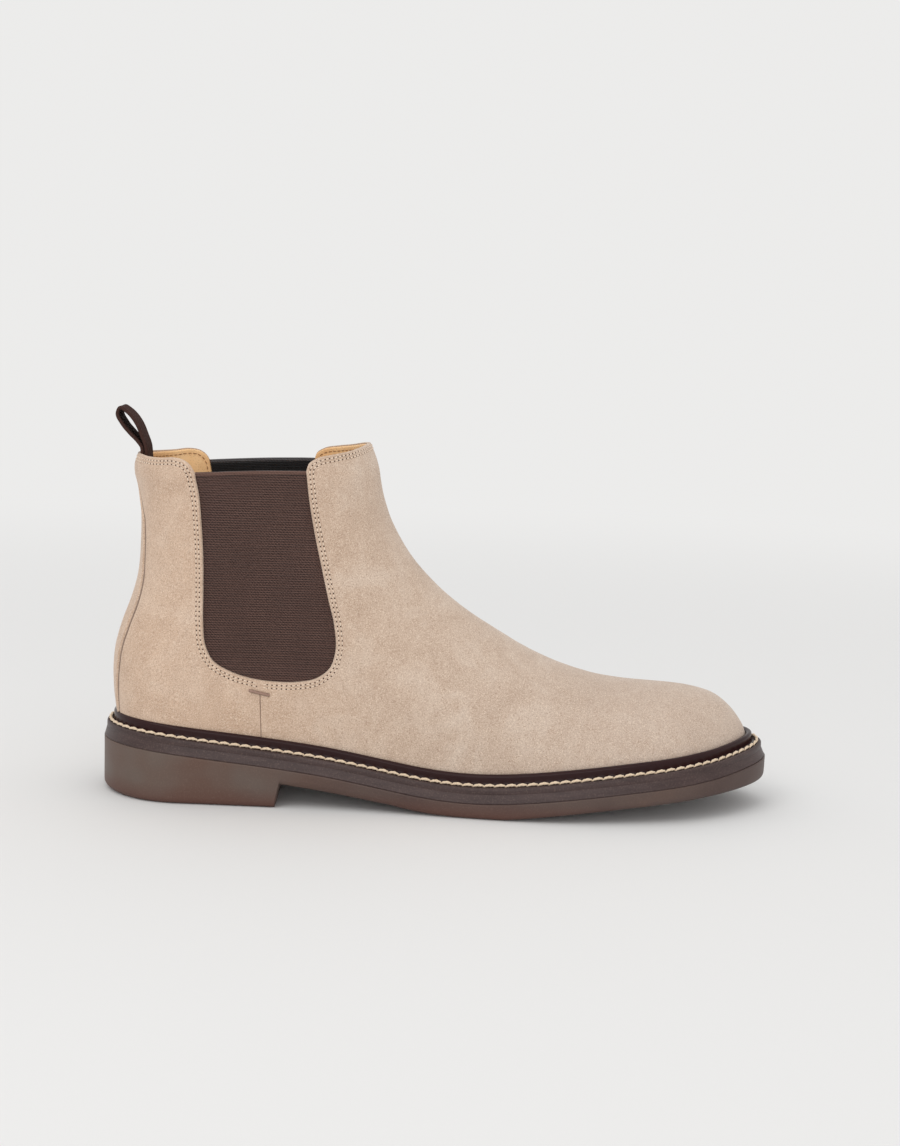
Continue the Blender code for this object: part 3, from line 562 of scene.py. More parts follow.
def suede_top(net, here, side):
    soft = 0.16 * bumps(here, 17, 3.1) + 0.09 * bumps(here, 6, 8.2)
    on_side_seam = net.from_stitched > net.inset + 1
    depth = (np.where(on_side_seam, hem_depth(net.inset, 0.42), hem_depth(net.inset))
             + stitch_grooves(net.from_stitched) + soft * smoothstep((net.inset - 1) / 6))
    if net.ridge == "back":
        away = distance(net.places, SEAM_LINE)
        on_seam = np.ones(len(away)) if side < 0 else smoothstep((here[:, 2] - 145) / 3)
        depth += on_seam * (0.8 * bell(away / 0.6) + 0.35 * bell(away / 1.5)
                            - np.where(past_back_seam(here), 0.75, 0.2) * bell((away - 1.6) / 0.9))
    return depth


def suede_under(net, here, side):
    return np.full(len(here), SUEDE_THICK)


def lining_top(net, here, side):
    return 1.85 + 1.95 * smoothstep(net.from_stitched / 11)


def lining_under(net, here, side):
    grooves = 0.12 * stitch_grooves(net.from_stitched)
    return lining_top(net, here, side) + 1.0 - 0.8 * hem_depth(net.inset, 0.7) - grooves


SEAM_LINE = back_seam_line()


def back_seam_thread_and_shade(material):
    """The seam's close stitching, seen as a dull grey-brown line down the slit between the two quarters; its
    darker colour is partly painted shade in the slit.
    """
    points, normals = surface(SEAM_LINE, -1, "back")
    run = resample(points - normals * 0.42, 0.5)
    outward = walked(normals, np.linspace(0, 1, len(run)), np.linspace(0, 1, len(normals)))
    pile = Pile()
    pile.add(*tube(run, outward, 0.40 + 0.05 * np.cos(math.pi * np.arange(len(run))), 8))
    return pile.made("back_seam_stitching_and_shade", material)


def upper_pieces(look):
    """The suede's three skins and the two linings."""
    def skin(name, net, top, under, material):
        outer, inner, faces, _ = net.sheet(top, under)
        return solid(name, outer, inner, faces, material)

    vamp_net = Net(vamp_outline(0, SEAM_GAP), "front", 2.3, HEM_ROWS)
    quarter_net = Net(quarter_outline(0, -SEAM_GAP), "back", 2.1, HEM_ROWS, SEAM_LINE)
    vamp = skin("vamp_suede", vamp_net, suede_top, suede_under, look["suede"])
    outer, inner, faces, owner = quarter_net.sheet(suede_top, suede_under)
    lateral = (owner < 0) & ~past_back_seam(np.array([outer[face].mean(axis=0) for face in faces]))
    quarters = [solid(name, outer, inner, [face for face, take in zip(faces, taken) if take], look["suede"])
                for name, taken in (("quarter_suede_lateral", lateral), ("quarter_suede_medial", ~lateral))]
    lining_net = Net(quarter_outline(0.35, -SEAM_GAP, 0.5), "back", 3.2, LINING_ROWS)
    shaft = skin("quarter_lining_leather", lining_net, lining_top, lining_under, look["lining"])
    front_net = Net(vamp_outline(0.35, SEAM_GAP, 0.5), "front", 3.6, LINING_ROWS)
    front = skin("vamp_lining_leather", front_net, lining_top, lining_under, look["lining"])
    return vamp, quarters, shaft, front


# ---- stitching of the upper ----

def hem_run(outline, ridge):
    """The stitched hem of an outline as one open run of rolled-out places, from end to end."""
    flat, on_ridge, at_foot = edges_of(outline, ridge)
    keep = ~on_ridge & ~at_foot & ~near_side_seam(outline, 1.6, 56.5)
    start = int(np.flatnonzero(keep & ~np.roll(keep, 1))[0])
    return np.roll(flat, 1 - start, axis=0)[:int(keep.sum()) + 2]


def inset_run(run, offset, outline_flat):
    """A run moved inwards by an offset, without the loops this makes at tight corners."""
    smooth = resample(run, 0.5)
    sideways = offset * turned_left(tangents_of(smooth))
    rows = [row[inside_polygon(row, outline_flat)] for row in (smooth + sideways, smooth - sideways)]
    best = max(rows, key=len)
    return best[distance(best, smooth) > 0.9 * offset]


HOLE_RINGS = ((0.44, -0.2), (0.44, 0.04), (0.30, 0.12))  # radius, height


def sew(pile, holes, flat_run, side, ridge, depth, outward=1, pitch=STITCH_PITCH, radius=0.34):
    """A row of stitches along rolled-out places, each from one needle hole to the next."""
    lengths = lengths_of(flat_run)
    count = int(round(lengths[-1] / pitch))
    pitch = lengths[-1] / count

    def sewn_at(marks):
        points, normals = surface(walked(flat_run, marks, lengths), side, ridge)
        return points - normals * depth, normals * outward

    taper = radius * np.array([0.55, 0.95, 1.05, 1.05, 0.95, 0.55])
    arch = 0.34 * np.sin(np.linspace(0, math.pi, len(taper))) - 0.12
    marks = np.arange(count)[:, None] + np.linspace(0.10, 0.90, len(taper))[None]
    base, normals = sewn_at(marks.ravel() * pitch)
    path = base + normals * np.tile(arch, count)[:, None]
    for stitch in np.arange(len(path)).reshape(count, -1):
        pile.add(*tube(path[stitch], normals[stitch], taper))
    if holes is None:
        return
    # Dark discs at the needle holes: painted shade inside each hole.
    angle = np.linspace(0, 2 * math.pi, 8, endpoint=False)[:, None]
    for point, normal in zip(*sewn_at(np.arange(count + 1) * pitch)):
        u = np.cross(normal, [0.3, 0.2, 0.9])
        u /= np.linalg.norm(u)
        disc = u * np.cos(angle) + np.cross(normal, u) * np.sin(angle)
        rings = [point + disc * size + normal * rise for size, rise in HOLE_RINGS]
        holes.add(np.vstack(rings), capped(3, 8))


def upper_stitches(look):
    thread, holes, inner_thread = Pile(), Pile(), Pile()
    for outline, ridge in ((vamp_outline(0, SEAM_GAP), "front"), (quarter_outline(0, -SEAM_GAP), "back")):
        flat = RIDGES[ridge].flatten(outline)
        run = hem_run(outline, ridge)
        for side in SIDES:
            for offset in STITCH_ROWS:
                sew(thread, holes, inset_run(run, offset, flat), side, ridge, 0.2)
            sew(inner_thread, None, inset_run(run, 2.3, flat), side, ridge, 3.02, -1, 2.65, 0.2)
    return (thread.made("upper_stitches", look["upper_thread"]), holes.made("needle_hole_shades", look["hole"]),
            inner_thread.made("lining_stitches", look["lining_thread"]))


# ---- elastic, tape and bar tacks ----

FOLD_HEIGHT = 1.75


def ribbed_gore(name, side, depth, thick, material, band_material, grow, top_drop, facing):
    """The elastic: a sheet of fine cross ribs, under the suede all round, folded over at its top."""
    def top_at(x):
        ends = np.interp(x, [GORE[0][0], GORE[-1][0]], [GORE[0][1], GORE[-1][1]])
        return ends - top_drop + 0.5 * bell((x + 86) / 22)

    pitch, samples, columns = 0.78, 5, 33
    margin = gore_edge(grow, 0.4)
    lowest = int(margin[:, 1].argmin())
    low = margin[lowest, 1] + 0.02
    rows = int(100 / pitch) * samples
    share = np.linspace(0, 1, rows)
    ends = []
    for run in (margin[:lowest + 1][::-1], margin[lowest:]):
        reach = np.full(rows, run[-1, 0])
        for _ in range(3):
            reach = np.interp(low + share * (top_at(reach) - low), run[:, 1], run[:, 0])
        ends.append(reach)
    x = (ends[0][:, None] + (ends[1] - ends[0])[:, None] * np.linspace(0, 1, columns)[None]).ravel()
    share = np.repeat(share, columns)
    z = low + share * (top_at(x) - low)
    points, normals = surface(np.stack([x, z], axis=1), side, None)
    below_top = top_at(x) - z
    wander = 0.015 * np.sin(x / 7.3 + 1.3 * side)
    rib = 0.20 * np.cos(2 * math.pi * (share * rows / samples + wander))
    band = smoothstep((FOLD_HEIGHT - below_top) / 0.25)
    crease = 0.45 * bell((below_top - FOLD_HEIGHT - 0.1) / 0.28)
    relief = hem_depth(below_top, 0.5) + crease - rib * (1 - band) - 0.16 * band
    near = depth + 0.5 * bell((x + 84) / 20) * smoothstep((z - 56) / 12)
    far = near + thick
    if facing > 0:
        near = near + relief
    else:
        far = far - relief
    outer, inner = (points - normals * level[:, None] for level in (near, far))
    faces = [face[::-side] for face in quads(rows, columns, open_rows=True)]
    made = solid(name, outer, inner, faces, material)
    made.data.materials.append(band_material)
    for face in made.data.polygons:
        if face.center.z / MM > top_at(face.center.x / MM) - FOLD_HEIGHT:
            face.material_index = 1
    return made


def bar_tack(name, side, material):
    """A bar of close zigzag stitches over the head of the side seam."""
    pile = Pile()
    length, slope, width, height = 8.4, 0.2, 1.6, 50.6
    t = np.linspace(-1, 1, 6)
    thick = [0.20, 0.34, 0.37, 0.37, 0.34, 0.20]

    def wrap(run, lean, reach, rise, radii):
        flat = np.stack([SIDE_SEAM_HEAD_X + run + lean * t, height - slope * run + t * reach], axis=1)
        points, normals = surface(flat, side, None)
        pile.add(*tube(points + normals * rise[:, None], normals, radii))

    for i, run in enumerate(np.linspace(-length / 2, length / 2, 26)):
        wrap(run, 0.24 if i % 2 else -0.24, width / 2, 0.20 + 0.46 * (1 - t ** 2), thick)
    for end in (-1, 1):
        wrap(end * (length / 2 + 0.25), 0, width * 0.38, np.full(6, 0.16), np.full(6, 0.25))
    return pile.made(name, material)


TAB_LOOP = [(-136.9, 149.5), (-137.1, 153), (-137.5, 157), (-139.3, 159.5), (-142.7, 162.9), (-146.4, 167.3),
            (-148.5, 171.9), (-147.4, 174.3), (-144.6, 172.9), (-141.5, 169.9), (-139.4, 166.7),
            (-137.3, 161.8), (-135.6, 157), (-135.2, 153), (-135.1, 149.5)]
TAB_WIDTH, TAB_THICK = 17.0, 1.35


def pull_tab(material):
    """A woven tape folded into a loop: a grid round its section, with the weave standing proud of it."""
    path = spline(TAB_LOOP, 0.22)
    normal = turned_left(tangents_of(path))
    lengths = lengths_of(path)
    half = TAB_WIDTH / 2
    flat_part = np.linspace(-half + 0.5, half - 0.5, 58)
    round_part = np.linspace(0, math.pi, 7)[1:-1]
    section = []
    for way in (1, -1):
        section += [(way * y, way, 0) for y in flat_part]
        section += [(way * (half - 0.5), way * math.cos(a), way * math.sin(a)) for a in round_part]
    across, lift_by, out_by = np.array(section).T
    pitch_across, pitch_along = 1.15, 0.9
    herring = np.abs((across / (pitch_across * 4)) % 1 - 0.5) * 2
    waves = np.sin(2 * math.pi * (lengths[:, None] / pitch_along + herring * 2.2))
    weave = waves * np.cos(math.pi * across / pitch_across) ** 2
    edge = smoothstep((half - 1.1 - np.abs(across)) / 0.5)
    thick = TAB_THICK / 2 + 0.07 * weave * edge + 0.10 * (1 - edge) * (np.abs(out_by) < 0.01)
    narrow = 1 - 0.03 * smoothstep((path[:, 1] - 168) / 5)
    sway = 0.25 * np.sin(lengths / 9.0)
    x, z = (path[:, [i]] + normal[:, [i]] * thick * lift_by for i in (0, 1))
    y = (across + 0.5 * out_by) * narrow[:, None] + sway[:, None]
    points = np.stack([x.ravel(), y.ravel(), z.ravel()], axis=1)
    return mesh_object("pull_tab_tape", points, capped(len(path), len(section)), material, 60)


# ---- the sole ----

ROUNDED_ENDS = 7


def with_normals(loop):
    return loop, -turned_left(unit(np.roll(loop, -1, axis=0) - np.roll(loop, 1, axis=0)))


def foot_loop(stations):
    """The upper's foot line as a loop with paired stations, and its outward normals."""
    x_back, x_front = (ridge_x(name, foot_z(name, FOOT_LINE_HEIGHT)) for name in ("back", "front"))
    angle = np.linspace(0, math.pi, stations // 2 + 1)[1:-1]
    x = (x_back + x_front) / 2 - (x_front - x_back) / 2 * np.cos(angle)
    for edge in (HEEL_BREAST_FOOT, HEEL_BREAST_HEAD):
        x[np.abs(x - edge).argmin()] = edge
    places = np.stack([x, table(SOLE_LINE, x) + FOOT_LINE_HEIGHT], axis=1)
    outer, inner = (lift(places, side, None)[:, :2] for side in SIDES)
    tips = [np.array([[tip, float(table(CENTRE, tip))]]) for tip in (x_back, x_front)]
    for row in (outer, inner):
        for run, tip in zip((row, row[::-1]), tips):
            reach, y = np.abs(run - tip)[:ROUNDED_ENDS + 1, 0], run[ROUNDED_ENDS, 1] - tip[0, 1]
            run[:ROUNDED_ENDS, 1] = tip[0, 1] + y * np.sqrt(reach[:-1] / reach[-1])
    return with_normals(np.vstack([tips[0], outer, tips[1], inner[::-1]]))


def even_loop(count):
    """The same loop with stations at even distances."""
    loop, _ = foot_loop(720)
    closed = np.vstack([loop, loop[:1]])
    lengths = lengths_of(closed)
    return with_normals(walked(closed, np.linspace(0, lengths[-1], count, endpoint=False), lengths))


def ring(base, out, height, share=0.0, extra=0.0):
    """A loop round the sole, out from the foot line plus a share of the welt's width, at a height."""
    loop, normals = base
    x = loop[:, 0]
    reach = out + share * table(WELT_EDGE, x) + extra * table(OUTSOLE_EXTRA, x)
    moved = loop + normals * reach[:, None]
    z = height(moved[:, 0]) if callable(height) else table(SOLE_LINE, moved[:, 0]) + height
    return np.column_stack([moved, z])


def tread(x):
    x = np.asarray(x, float)
    waist = table(WAIST_LINE, x)
    return np.where(x <= HEEL_BREAST_FOOT + 0.4, 0.0, np.where(x < BALL_X, waist, table(TOE_LINE, x)))


def plate(name, rings, material, angle=40):
    """Rings from the bottom one up, closed by strips across the first and the last."""
    size = len(rings[0])
    faces = quads(len(rings), size)
    for base, way in ((0, -1), ((len(rings) - 1) * size, 1)):
        for k in range(size // 2):
            strip = [base + k, base + k + 1, base + (size - k - 1) % size, base + (size - k) % size]
            faces.append(list(dict.fromkeys(strip))[::way])
    return mesh_object(name, np.vstack(rings), faces, material, angle)


def heel_lift(x):
    """The heel's rear edge is worn up a little."""
    return smoothstep((-128 - x) / 24)


OUTSOLE_SIDE = [  # out, height over the tread, share of the heel's wear, share of the toe's extra
    (-7.0, 0.0, 0.0, 0.6), (-3.4, 0.0, 0.1, 0.6), (-1.9, 0.05, 0.25, 0.7), (-1.0, 0.2, 0.45, 0.8),
    (-0.35, 0.5, 0.7, 0.9), (0.15, 0.95, 0.9, 0.95), (0.5, 1.6, 0.8, 1), (0.72, 2.4, 0.5, 1),
    (0.82, 3.4, 0.2, 1),
]
OUTSOLE_TOP = [  # out, height over the sole line, share of the toe's extra
    (0.9, -2.0, 1), (0.92, -1.1, 1), (0.91, -0.5, 1), (0.84, -0.26, 1), (0.6, -0.18, 0.9), (0.0, -0.2, 0.5),
]
MIDSOLE_SIDE = [  # out, height over the sole line
    (0.5, -0.14), (0.74, -0.06), (0.82, 0.08), (0.8, 0.5), (0.66, 1.6), (0.62, 1.75), (0.62, 1.9), (0.5, 3.0),
    (0.42, MIDSOLE_THICK + 0.2), (0.38, MIDSOLE_THICK + 0.36),
]
SOLE_STATIONS = 520


def outsole(look):
    base = foot_loop(SOLE_STATIONS)

    def edge(rise, worn):
        return lambda x: tread(x) + rise + worn * heel_lift(x)

    rings = [ring(base, out, edge(rise, worn), 1, extra) for out, rise, worn, extra in OUTSOLE_SIDE]
    rings += [ring(base, out, height, 1, extra) for out, height, extra in OUTSOLE_TOP]
    return plate("outsole_rubber_unit", rings, look["rubber"], 38)


def midsole(look):
    base = foot_loop(SOLE_STATIONS)
    rings = [ring(base, out, height, 1, 0.78 - 0.7 * height / MIDSOLE_THICK) for out, height in MIDSOLE_SIDE]
    return plate("midsole_stack", rings, look["midsole"], 50)


FUDGE_COUNT = 520
THREAD_SHARE, WELT_STITCH = 0.74, 4.8


def welt(look):
    """The storm welt: an upright bead by the upper, a flat, the thread's channel, and a milled outer lip."""
    stations = FUDGE_COUNT * 4
    base = even_loop(stations)
    mill = 0.5 + 0.5 * np.cos(2 * math.pi * FUDGE_COUNT * np.arange(stations) / stations)
    rib = WELT_TOP + RIB_HEIGHT
    section = [  # out, share of the welt's width, height, share of the milling
        (0.6, 0, SHELF - 0.04, 0), (0.40, 1, SHELF - 0.04, 0), (0.44, 1, SHELF + 0.06, 0),
        (0.45, 1, SHELF + 0.6, 0), (0.45, 1, SHELF + 1.3, 0), (0.42, 1, SHELF + 2.0, 0),
        (0.32, 1, WELT_TOP - 0.6, 0.2), (0.08, 1, WELT_TOP - 0.26, 0.7), (-0.22, 1, WELT_TOP - 0.05, 1),
        (-0.6, 1, WELT_TOP + 0.03, 0.8),
        (0.75, THREAD_SHARE, WELT_TOP + 0.02, 0.15), (0.55, THREAD_SHARE, WELT_TOP - 0.28, 0),
        (0.2, THREAD_SHARE, WELT_TOP - 0.5, 0), (-0.2, THREAD_SHARE, WELT_TOP - 0.5, 0),
        (-0.55, THREAD_SHARE, WELT_TOP - 0.3, 0), (-0.8, THREAD_SHARE, WELT_TOP + 0.02, 0),
        (0.55, 0.36, WELT_TOP + 0.02, 0), (0.25, 0.36, WELT_TOP + 0.25, 0), (0.05, 0.36, WELT_TOP + 0.8, 0),
        (-0.05, 0.36, WELT_TOP + 1.8, 0), (0.0, 0.36, rib - 1.9, 0), (0.02, 0.36, rib - 1.2, 0),
        (-0.06, 0.36, rib - 0.75, 0), (-0.25, 0.34, rib - 0.35, 0), (-0.5, 0.32, rib - 0.1, 0),
        (-0.75, 0.30, rib, 0), (-0.9, 0.24, rib - 0.08, 0), (-0.6, 0.08, rib - 0.4, 0),
        (-0.35, 0, rib - 0.9, 0), (-0.2, 0, rib - 1.8, 0),
    ]
    rings = []
    for out, share, height, milled in section:
        turned = ring(base, out, height, share)
        turned[:, 2] -= 0.17 * milled * mill
        turned[:, :2] -= base[1] * (0.10 * milled * mill)[:, None]
        rings.append(turned)
    faces = quads(len(rings), stations, ring_of_rows=True)
    made = mesh_object("storm_welt", np.vstack(rings), faces, look["welt"], 55)
    made.data.materials.append(look["midsole"])
    places = np.array([v.co for v in made.data.vertices]) / MM
    over = places[:, 2] - table(SOLE_LINE, places[:, 0])
    for face in made.data.polygons:
        if over[list(face.vertices)].max() < WELT_TOP - 0.02:
            face.material_index = 1
    return made


def welt_stitches(look):
    """The lock stitch round the welt: slanting stitches of thick laid thread, each tucked under the next."""
    stations = 3200
    base = even_loop(stations)
    centre = ring(base, 0, WELT_TOP, THREAD_SHARE)
    closed = np.vstack([centre, centre[:1]])
    lengths = lengths_of(closed)
    count = int(round(lengths[-1] / WELT_STITCH))
    t = np.linspace(0, 1, 15)
    slant = 0.56 * (0.5 - t)
    rise = (0.16 + 0.62 * np.sin(math.pi * t) ** 0.7 - 0.5 * smoothstep((t - 0.86) / 0.14)
            - 0.35 * smoothstep((0.12 - t) / 0.12))
    thick = 0.64 * np.clip(np.sin(math.pi * (0.05 + 0.9 * t)) ** 0.55, 0.3, 1)
    pile = Pile()
    for i in range(count):
        at = (i + 0.02 + t * 1.06) * lengths[-1] / count % lengths[-1]
        where = np.interp(at, lengths, np.arange(stations + 1)).astype(int) % stations
        path = walked(closed, at, lengths)
        path[:, :2] += base[1][where] * slant[:, None]
        path[:, 2] += rise
        along_it = tangents_of(path)
        up = np.cross(unit(np.cross(along_it, [0, 0, 1])), along_it)
        pile.add(*tube(path, up, thick, 12, 0.13, 0.62))
    return pile.made("welt_stitches", look["thread"])


def sock_liner(look):
    """A dished leather sheet on the insole, higher over the heel pad."""
    base = foot_loop(300)

    def over(rise):
        return lambda x: table(SOLE_LINE, x) + MIDSOLE_THICK + rise + 2.8 * smoothstep((-54 - x) / 11)

    edge = ((-6.5, 6.2), (-6.4, 6.9), (-6.6, 7.3), (-7.1, 7.4), (-14.4, 7.3))
    return plate("sock_liner_leather", [ring(base, out, over(rise)) for out, rise in edge], look["lining"])


# ---- materials ----

def srgb(*levels):
    shares = [level / 255 for level in levels]
    return tuple(v / 12.92 if v <= 0.04 else ((v + 0.055) / 1.055) ** 2.4 for v in shares) + (1,)


def with_inputs(node, **values):
    for key, value in values.items():
        node.inputs[key.replace("_", " ")].default_value = value
    return node


class Look:
    """A material's node tree, with short ways to add its nodes."""

    def __init__(self, name, roughness=0.5, **inputs):
        self.material = bpy.data.materials.new(name)
        self.material.use_nodes = True
        self.tree = self.material.node_tree
        self.shader = with_inputs(self.tree.nodes["Principled BSDF"], Roughness=roughness, **inputs)
        self.place = self.add("ShaderNodeTexCoord").outputs["Object"]

    def add(self, kind, vector=None, settings=(), **inputs):
        """A node with its inputs set, and its Vector input linked where one is given."""
        node = with_inputs(self.tree.nodes.new(kind), **inputs)
        for key, value in settings:
            setattr(node, key, value)
        if vector:
            self.link(vector, node.inputs["Vector"])
        return node

    def link(self, source, target):
        self.tree.links.new(source, target)

    def noise(self, scale, detail=3.0, roughness=0.55, stretch=None, distortion=0.0):
        """Noise whose features are about 1/scale metres across."""
        place = self.place
        if stretch:
            place = self.add("ShaderNodeMapping", place, Scale=stretch).outputs["Vector"]
        return self.add("ShaderNodeTexNoise", place, Scale=scale, Detail=detail, Roughness=roughness,
                        Distortion=distortion).outputs["Fac"]

    def bands(self, direction, period):
        """Slightly wavy stripes a period in metres apart along X or Z, or along both for DIAGONAL."""
        return self.add("ShaderNodeTexWave", self.place, [("bands_direction", direction)], Distortion=0.8,
                        Scale=math.pi / 10 / period, Detail_Scale=2.0).outputs["Fac"]

    def ramp(self, source, *stops):
        node = self.add("ShaderNodeValToRGB")
        ramp = node.color_ramp
        while len(ramp.elements) < len(stops):
            ramp.elements.new(0.5)
        for element, (place, colour) in zip(ramp.elements, stops):
            element.position = place
            element.color = colour
        self.link(source, node.inputs["Fac"])
        return node.outputs["Color"]

    def mix(self, first, second, factor):
        node = self.add("ShaderNodeMix", settings=[("data_type", "RGBA")])
        for index, value in ((6, first), (7, second)):
            if isinstance(value, tuple):
                node.inputs[index].default_value = value
            else:
                self.link(value, node.inputs[index])
        self.link(factor, node.inputs[0])
        return node.outputs[2]

    def tint(self, base, colour, where, share):
        return self.mix(base, colour, self.math("MULTIPLY", where, share))

    def rising(self, source, low, high):
        return self.ramp(source, (low, grey(0)), (high, grey(1)))
    def math(self, operation, first, second):
        node = self.add("ShaderNodeMath", settings=[("operation", operation)])
        for socket, value in zip(node.inputs, (first, second)):
            if isinstance(value, float):
                socket.default_value = value
            else:
                self.link(value, socket)
        return node.outputs[0]

    def along(self, axis, low, high):
        """0 to 1 as a coordinate goes between two values, in metres."""
        parts = self.add("ShaderNodeSeparateXYZ")
        self.link(self.place, parts.inputs[0])
        node = self.add("ShaderNodeMapRange", From_Min=low, From_Max=high)
        self.link(parts.outputs[axis], node.inputs["Value"])
        return node.outputs["Result"]

    def colour(self, source):
        if isinstance(source, tuple):
            self.shader.inputs["Base Color"].default_value = source
        else:
            self.link(source, self.shader.inputs["Base Color"])
        return self

    def bump(self, *layers):
        """Bumps of (height source, height in metres) on top of one another."""
        before = None
        for source, height in layers:
            node = self.add("ShaderNodeBump", Strength=1.0, Distance=height)
            self.link(source, node.inputs["Height"])
            if before:
                self.link(before, node.inputs["Normal"])
            before = node.outputs["Normal"]
        self.link(before, self.shader.inputs["Normal"])
        return self


def grey(value):
    return (value, value, value, 1)


def suede_look():
    look = Look("sand suede", 0.95, Sheen_Weight=0.28, Sheen_Roughness=0.5, Sheen_Tint=(1, 0.97, 0.93, 1),
                Specular_IOR_Level=0.12)
    tone = look.ramp(look.noise(38, 4, 0.6, distortion=0.8), (0.3, srgb(180, 155, 134)),
                     (0.5, srgb(198, 175, 155)), (0.72, srgb(212, 194, 177)))
    tone = look.tint(tone, srgb(208, 174, 148), look.along("X", 0.01, -0.10), 0.42)
    # Greyer, less saturated tone toward the front: painted sheen of the lit vamp.
    tone = look.tint(tone, srgb(185, 168, 156), look.along("X", -0.08, 0.09), 0.62)
    strokes = look.rising(look.noise(260, 3, 0.6, (1, 1, 0.45)), 0.42, 0.72)
    tone = look.tint(tone, srgb(168, 140, 120), strokes, 0.24)
    tone = look.tint(tone, srgb(242, 224, 204), look.rising(look.noise(2100, 2, 0.7), 0.48, 0.68), 0.56)
    look.colour(look.tint(tone, srgb(134, 103, 84), look.rising(look.noise(1700, 3, 0.7), 0.5, 0.7), 0.56))
    return look.bump((look.noise(420, 4, 0.7), 0.00022), (look.noise(1700, 3, 0.8), 0.00016)).material


def lining_look():
    look = Look("tan lining leather", 0.5, Coat_Weight=0.08, Coat_Roughness=0.35, Specular_IOR_Level=0.4)
    base = look.ramp(look.noise(55, 4, 0.6), (0.3, srgb(228, 178, 124)), (0.55, srgb(238, 194, 140)),
                     (0.8, srgb(244, 206, 158)))
    pores = look.add("ShaderNodeTexVoronoi", look.place, Scale=1150)
    spots = look.ramp(pores.outputs["Distance"], (0.12, grey(1)), (0.3, grey(0)))
    look.colour(look.tint(base, srgb(140, 98, 62), spots, 0.45))
    return look.bump((pores.outputs["Distance"], 0.00008), (look.noise(240, 3), 0.00012)).material


def elastic_look(name, light, dark, accent):
    look = Look(name, 0.82, Sheen_Weight=0.12, Specular_IOR_Level=0.2)
    ribs, twill = look.bands("Z", 0.0011), look.bands("DIAGONAL", 0.0007)
    woven = look.math("ADD", look.math("MULTIPLY", ribs, 0.55), look.math("MULTIPLY", twill, 0.45))
    base = look.mix(dark, light, look.rising(woven, 0.25, 0.75))
    mottled = look.tint(base, accent, look.rising(look.noise(1900, 1, 0.6), 0.5, 0.7), 0.36)
    look.colour(look.tint(mottled, dark, look.rising(look.noise(60, 2), 0.4, 0.7), 0.16))
    return look.bump((woven, 0.00016), (look.noise(2200, 2), 0.00010)).material


def welt_look():
    look = Look("burgundy welt", 0.3, Coat_Weight=0.14, Coat_Roughness=0.1, Specular_IOR_Level=0.1)
    look.colour(look.mix(srgb(38, 17, 19), srgb(50, 28, 28), look.noise(90, 4)))
    return look.bump((look.noise(700, 3), 0.00003), (look.noise(120, 2), 0.00012)).material


def midsole_look():
    look = Look("brown sole edge", 0.45, Coat_Weight=0.06, Coat_Roughness=0.3, Specular_IOR_Level=0.3)
    base = look.ramp(look.noise(60, 4, 0.6, (1, 1, 6)), (0.3, srgb(54, 39, 38)), (0.7, srgb(70, 54, 52)))
    look.colour(look.tint(base, srgb(118, 98, 90), look.rising(look.noise(1400, 2, 0.8), 0.52, 0.75), 0.4))
    return look.bump((look.noise(500, 3, 0.6, (0.35, 0.35, 4)), 0.00006),
                     (look.noise(2000, 2), 0.00004)).material


def rubber_look():
    look = Look("brown rubber", 0.5, Coat_Weight=0.04, Coat_Roughness=0.4, Specular_IOR_Level=0.3)
    base = look.ramp(look.noise(28, 3, 0.5), (0.3, srgb(72, 55, 51)), (0.6, srgb(84, 68, 62)),
                     (0.8, srgb(98, 75, 64)))
    worn = look.mix(srgb(96, 72, 61), srgb(101, 88, 80), look.rising(look.noise(26, 2), 0.4, 0.58))
    heel = look.tint(base, worn, look.along("X", -0.02, -0.10), 0.8)
    low = look.mix(srgb(88, 58, 49), heel, look.along("Z", 0.0, 0.009))
    look.colour(look.tint(low, srgb(122, 101, 92), look.rising(look.noise(1500, 2, 0.8), 0.52, 0.75), 0.28))
    return look.bump((look.noise(900, 3), 0.00004),
                     (look.noise(140, 3, 0.5, (0.4, 0.4, 1.5)), 0.00012)).material


def thread_look(name, light, dark, roughness=0.6):
    look = Look(name, roughness, Sheen_Weight=0.1, Specular_IOR_Level=0.35)
    look.colour(look.mix(light, dark, look.noise(1500, 2)))
    return look.bump((look.noise(3500, 2), 0.00006)).material


def tape_look():
    look = Look("brown tape", 0.9, Specular_IOR_Level=0.08)
    look.colour(look.mix(srgb(50, 34, 30), srgb(78, 56, 51), look.noise(900, 3, 0.6)))
    return look.bump((look.noise(2600, 2), 0.00010)).material


def plain_look(name, light, dark, scale, roughness, height, **inputs):
    look = Look(name, roughness, **inputs)
    look.colour(look.mix(light, dark, look.rising(look.noise(scale, 4, 0.65), 0.35, 0.65)))
    return look.bump((look.noise(scale * 2.3, 3), height)).material


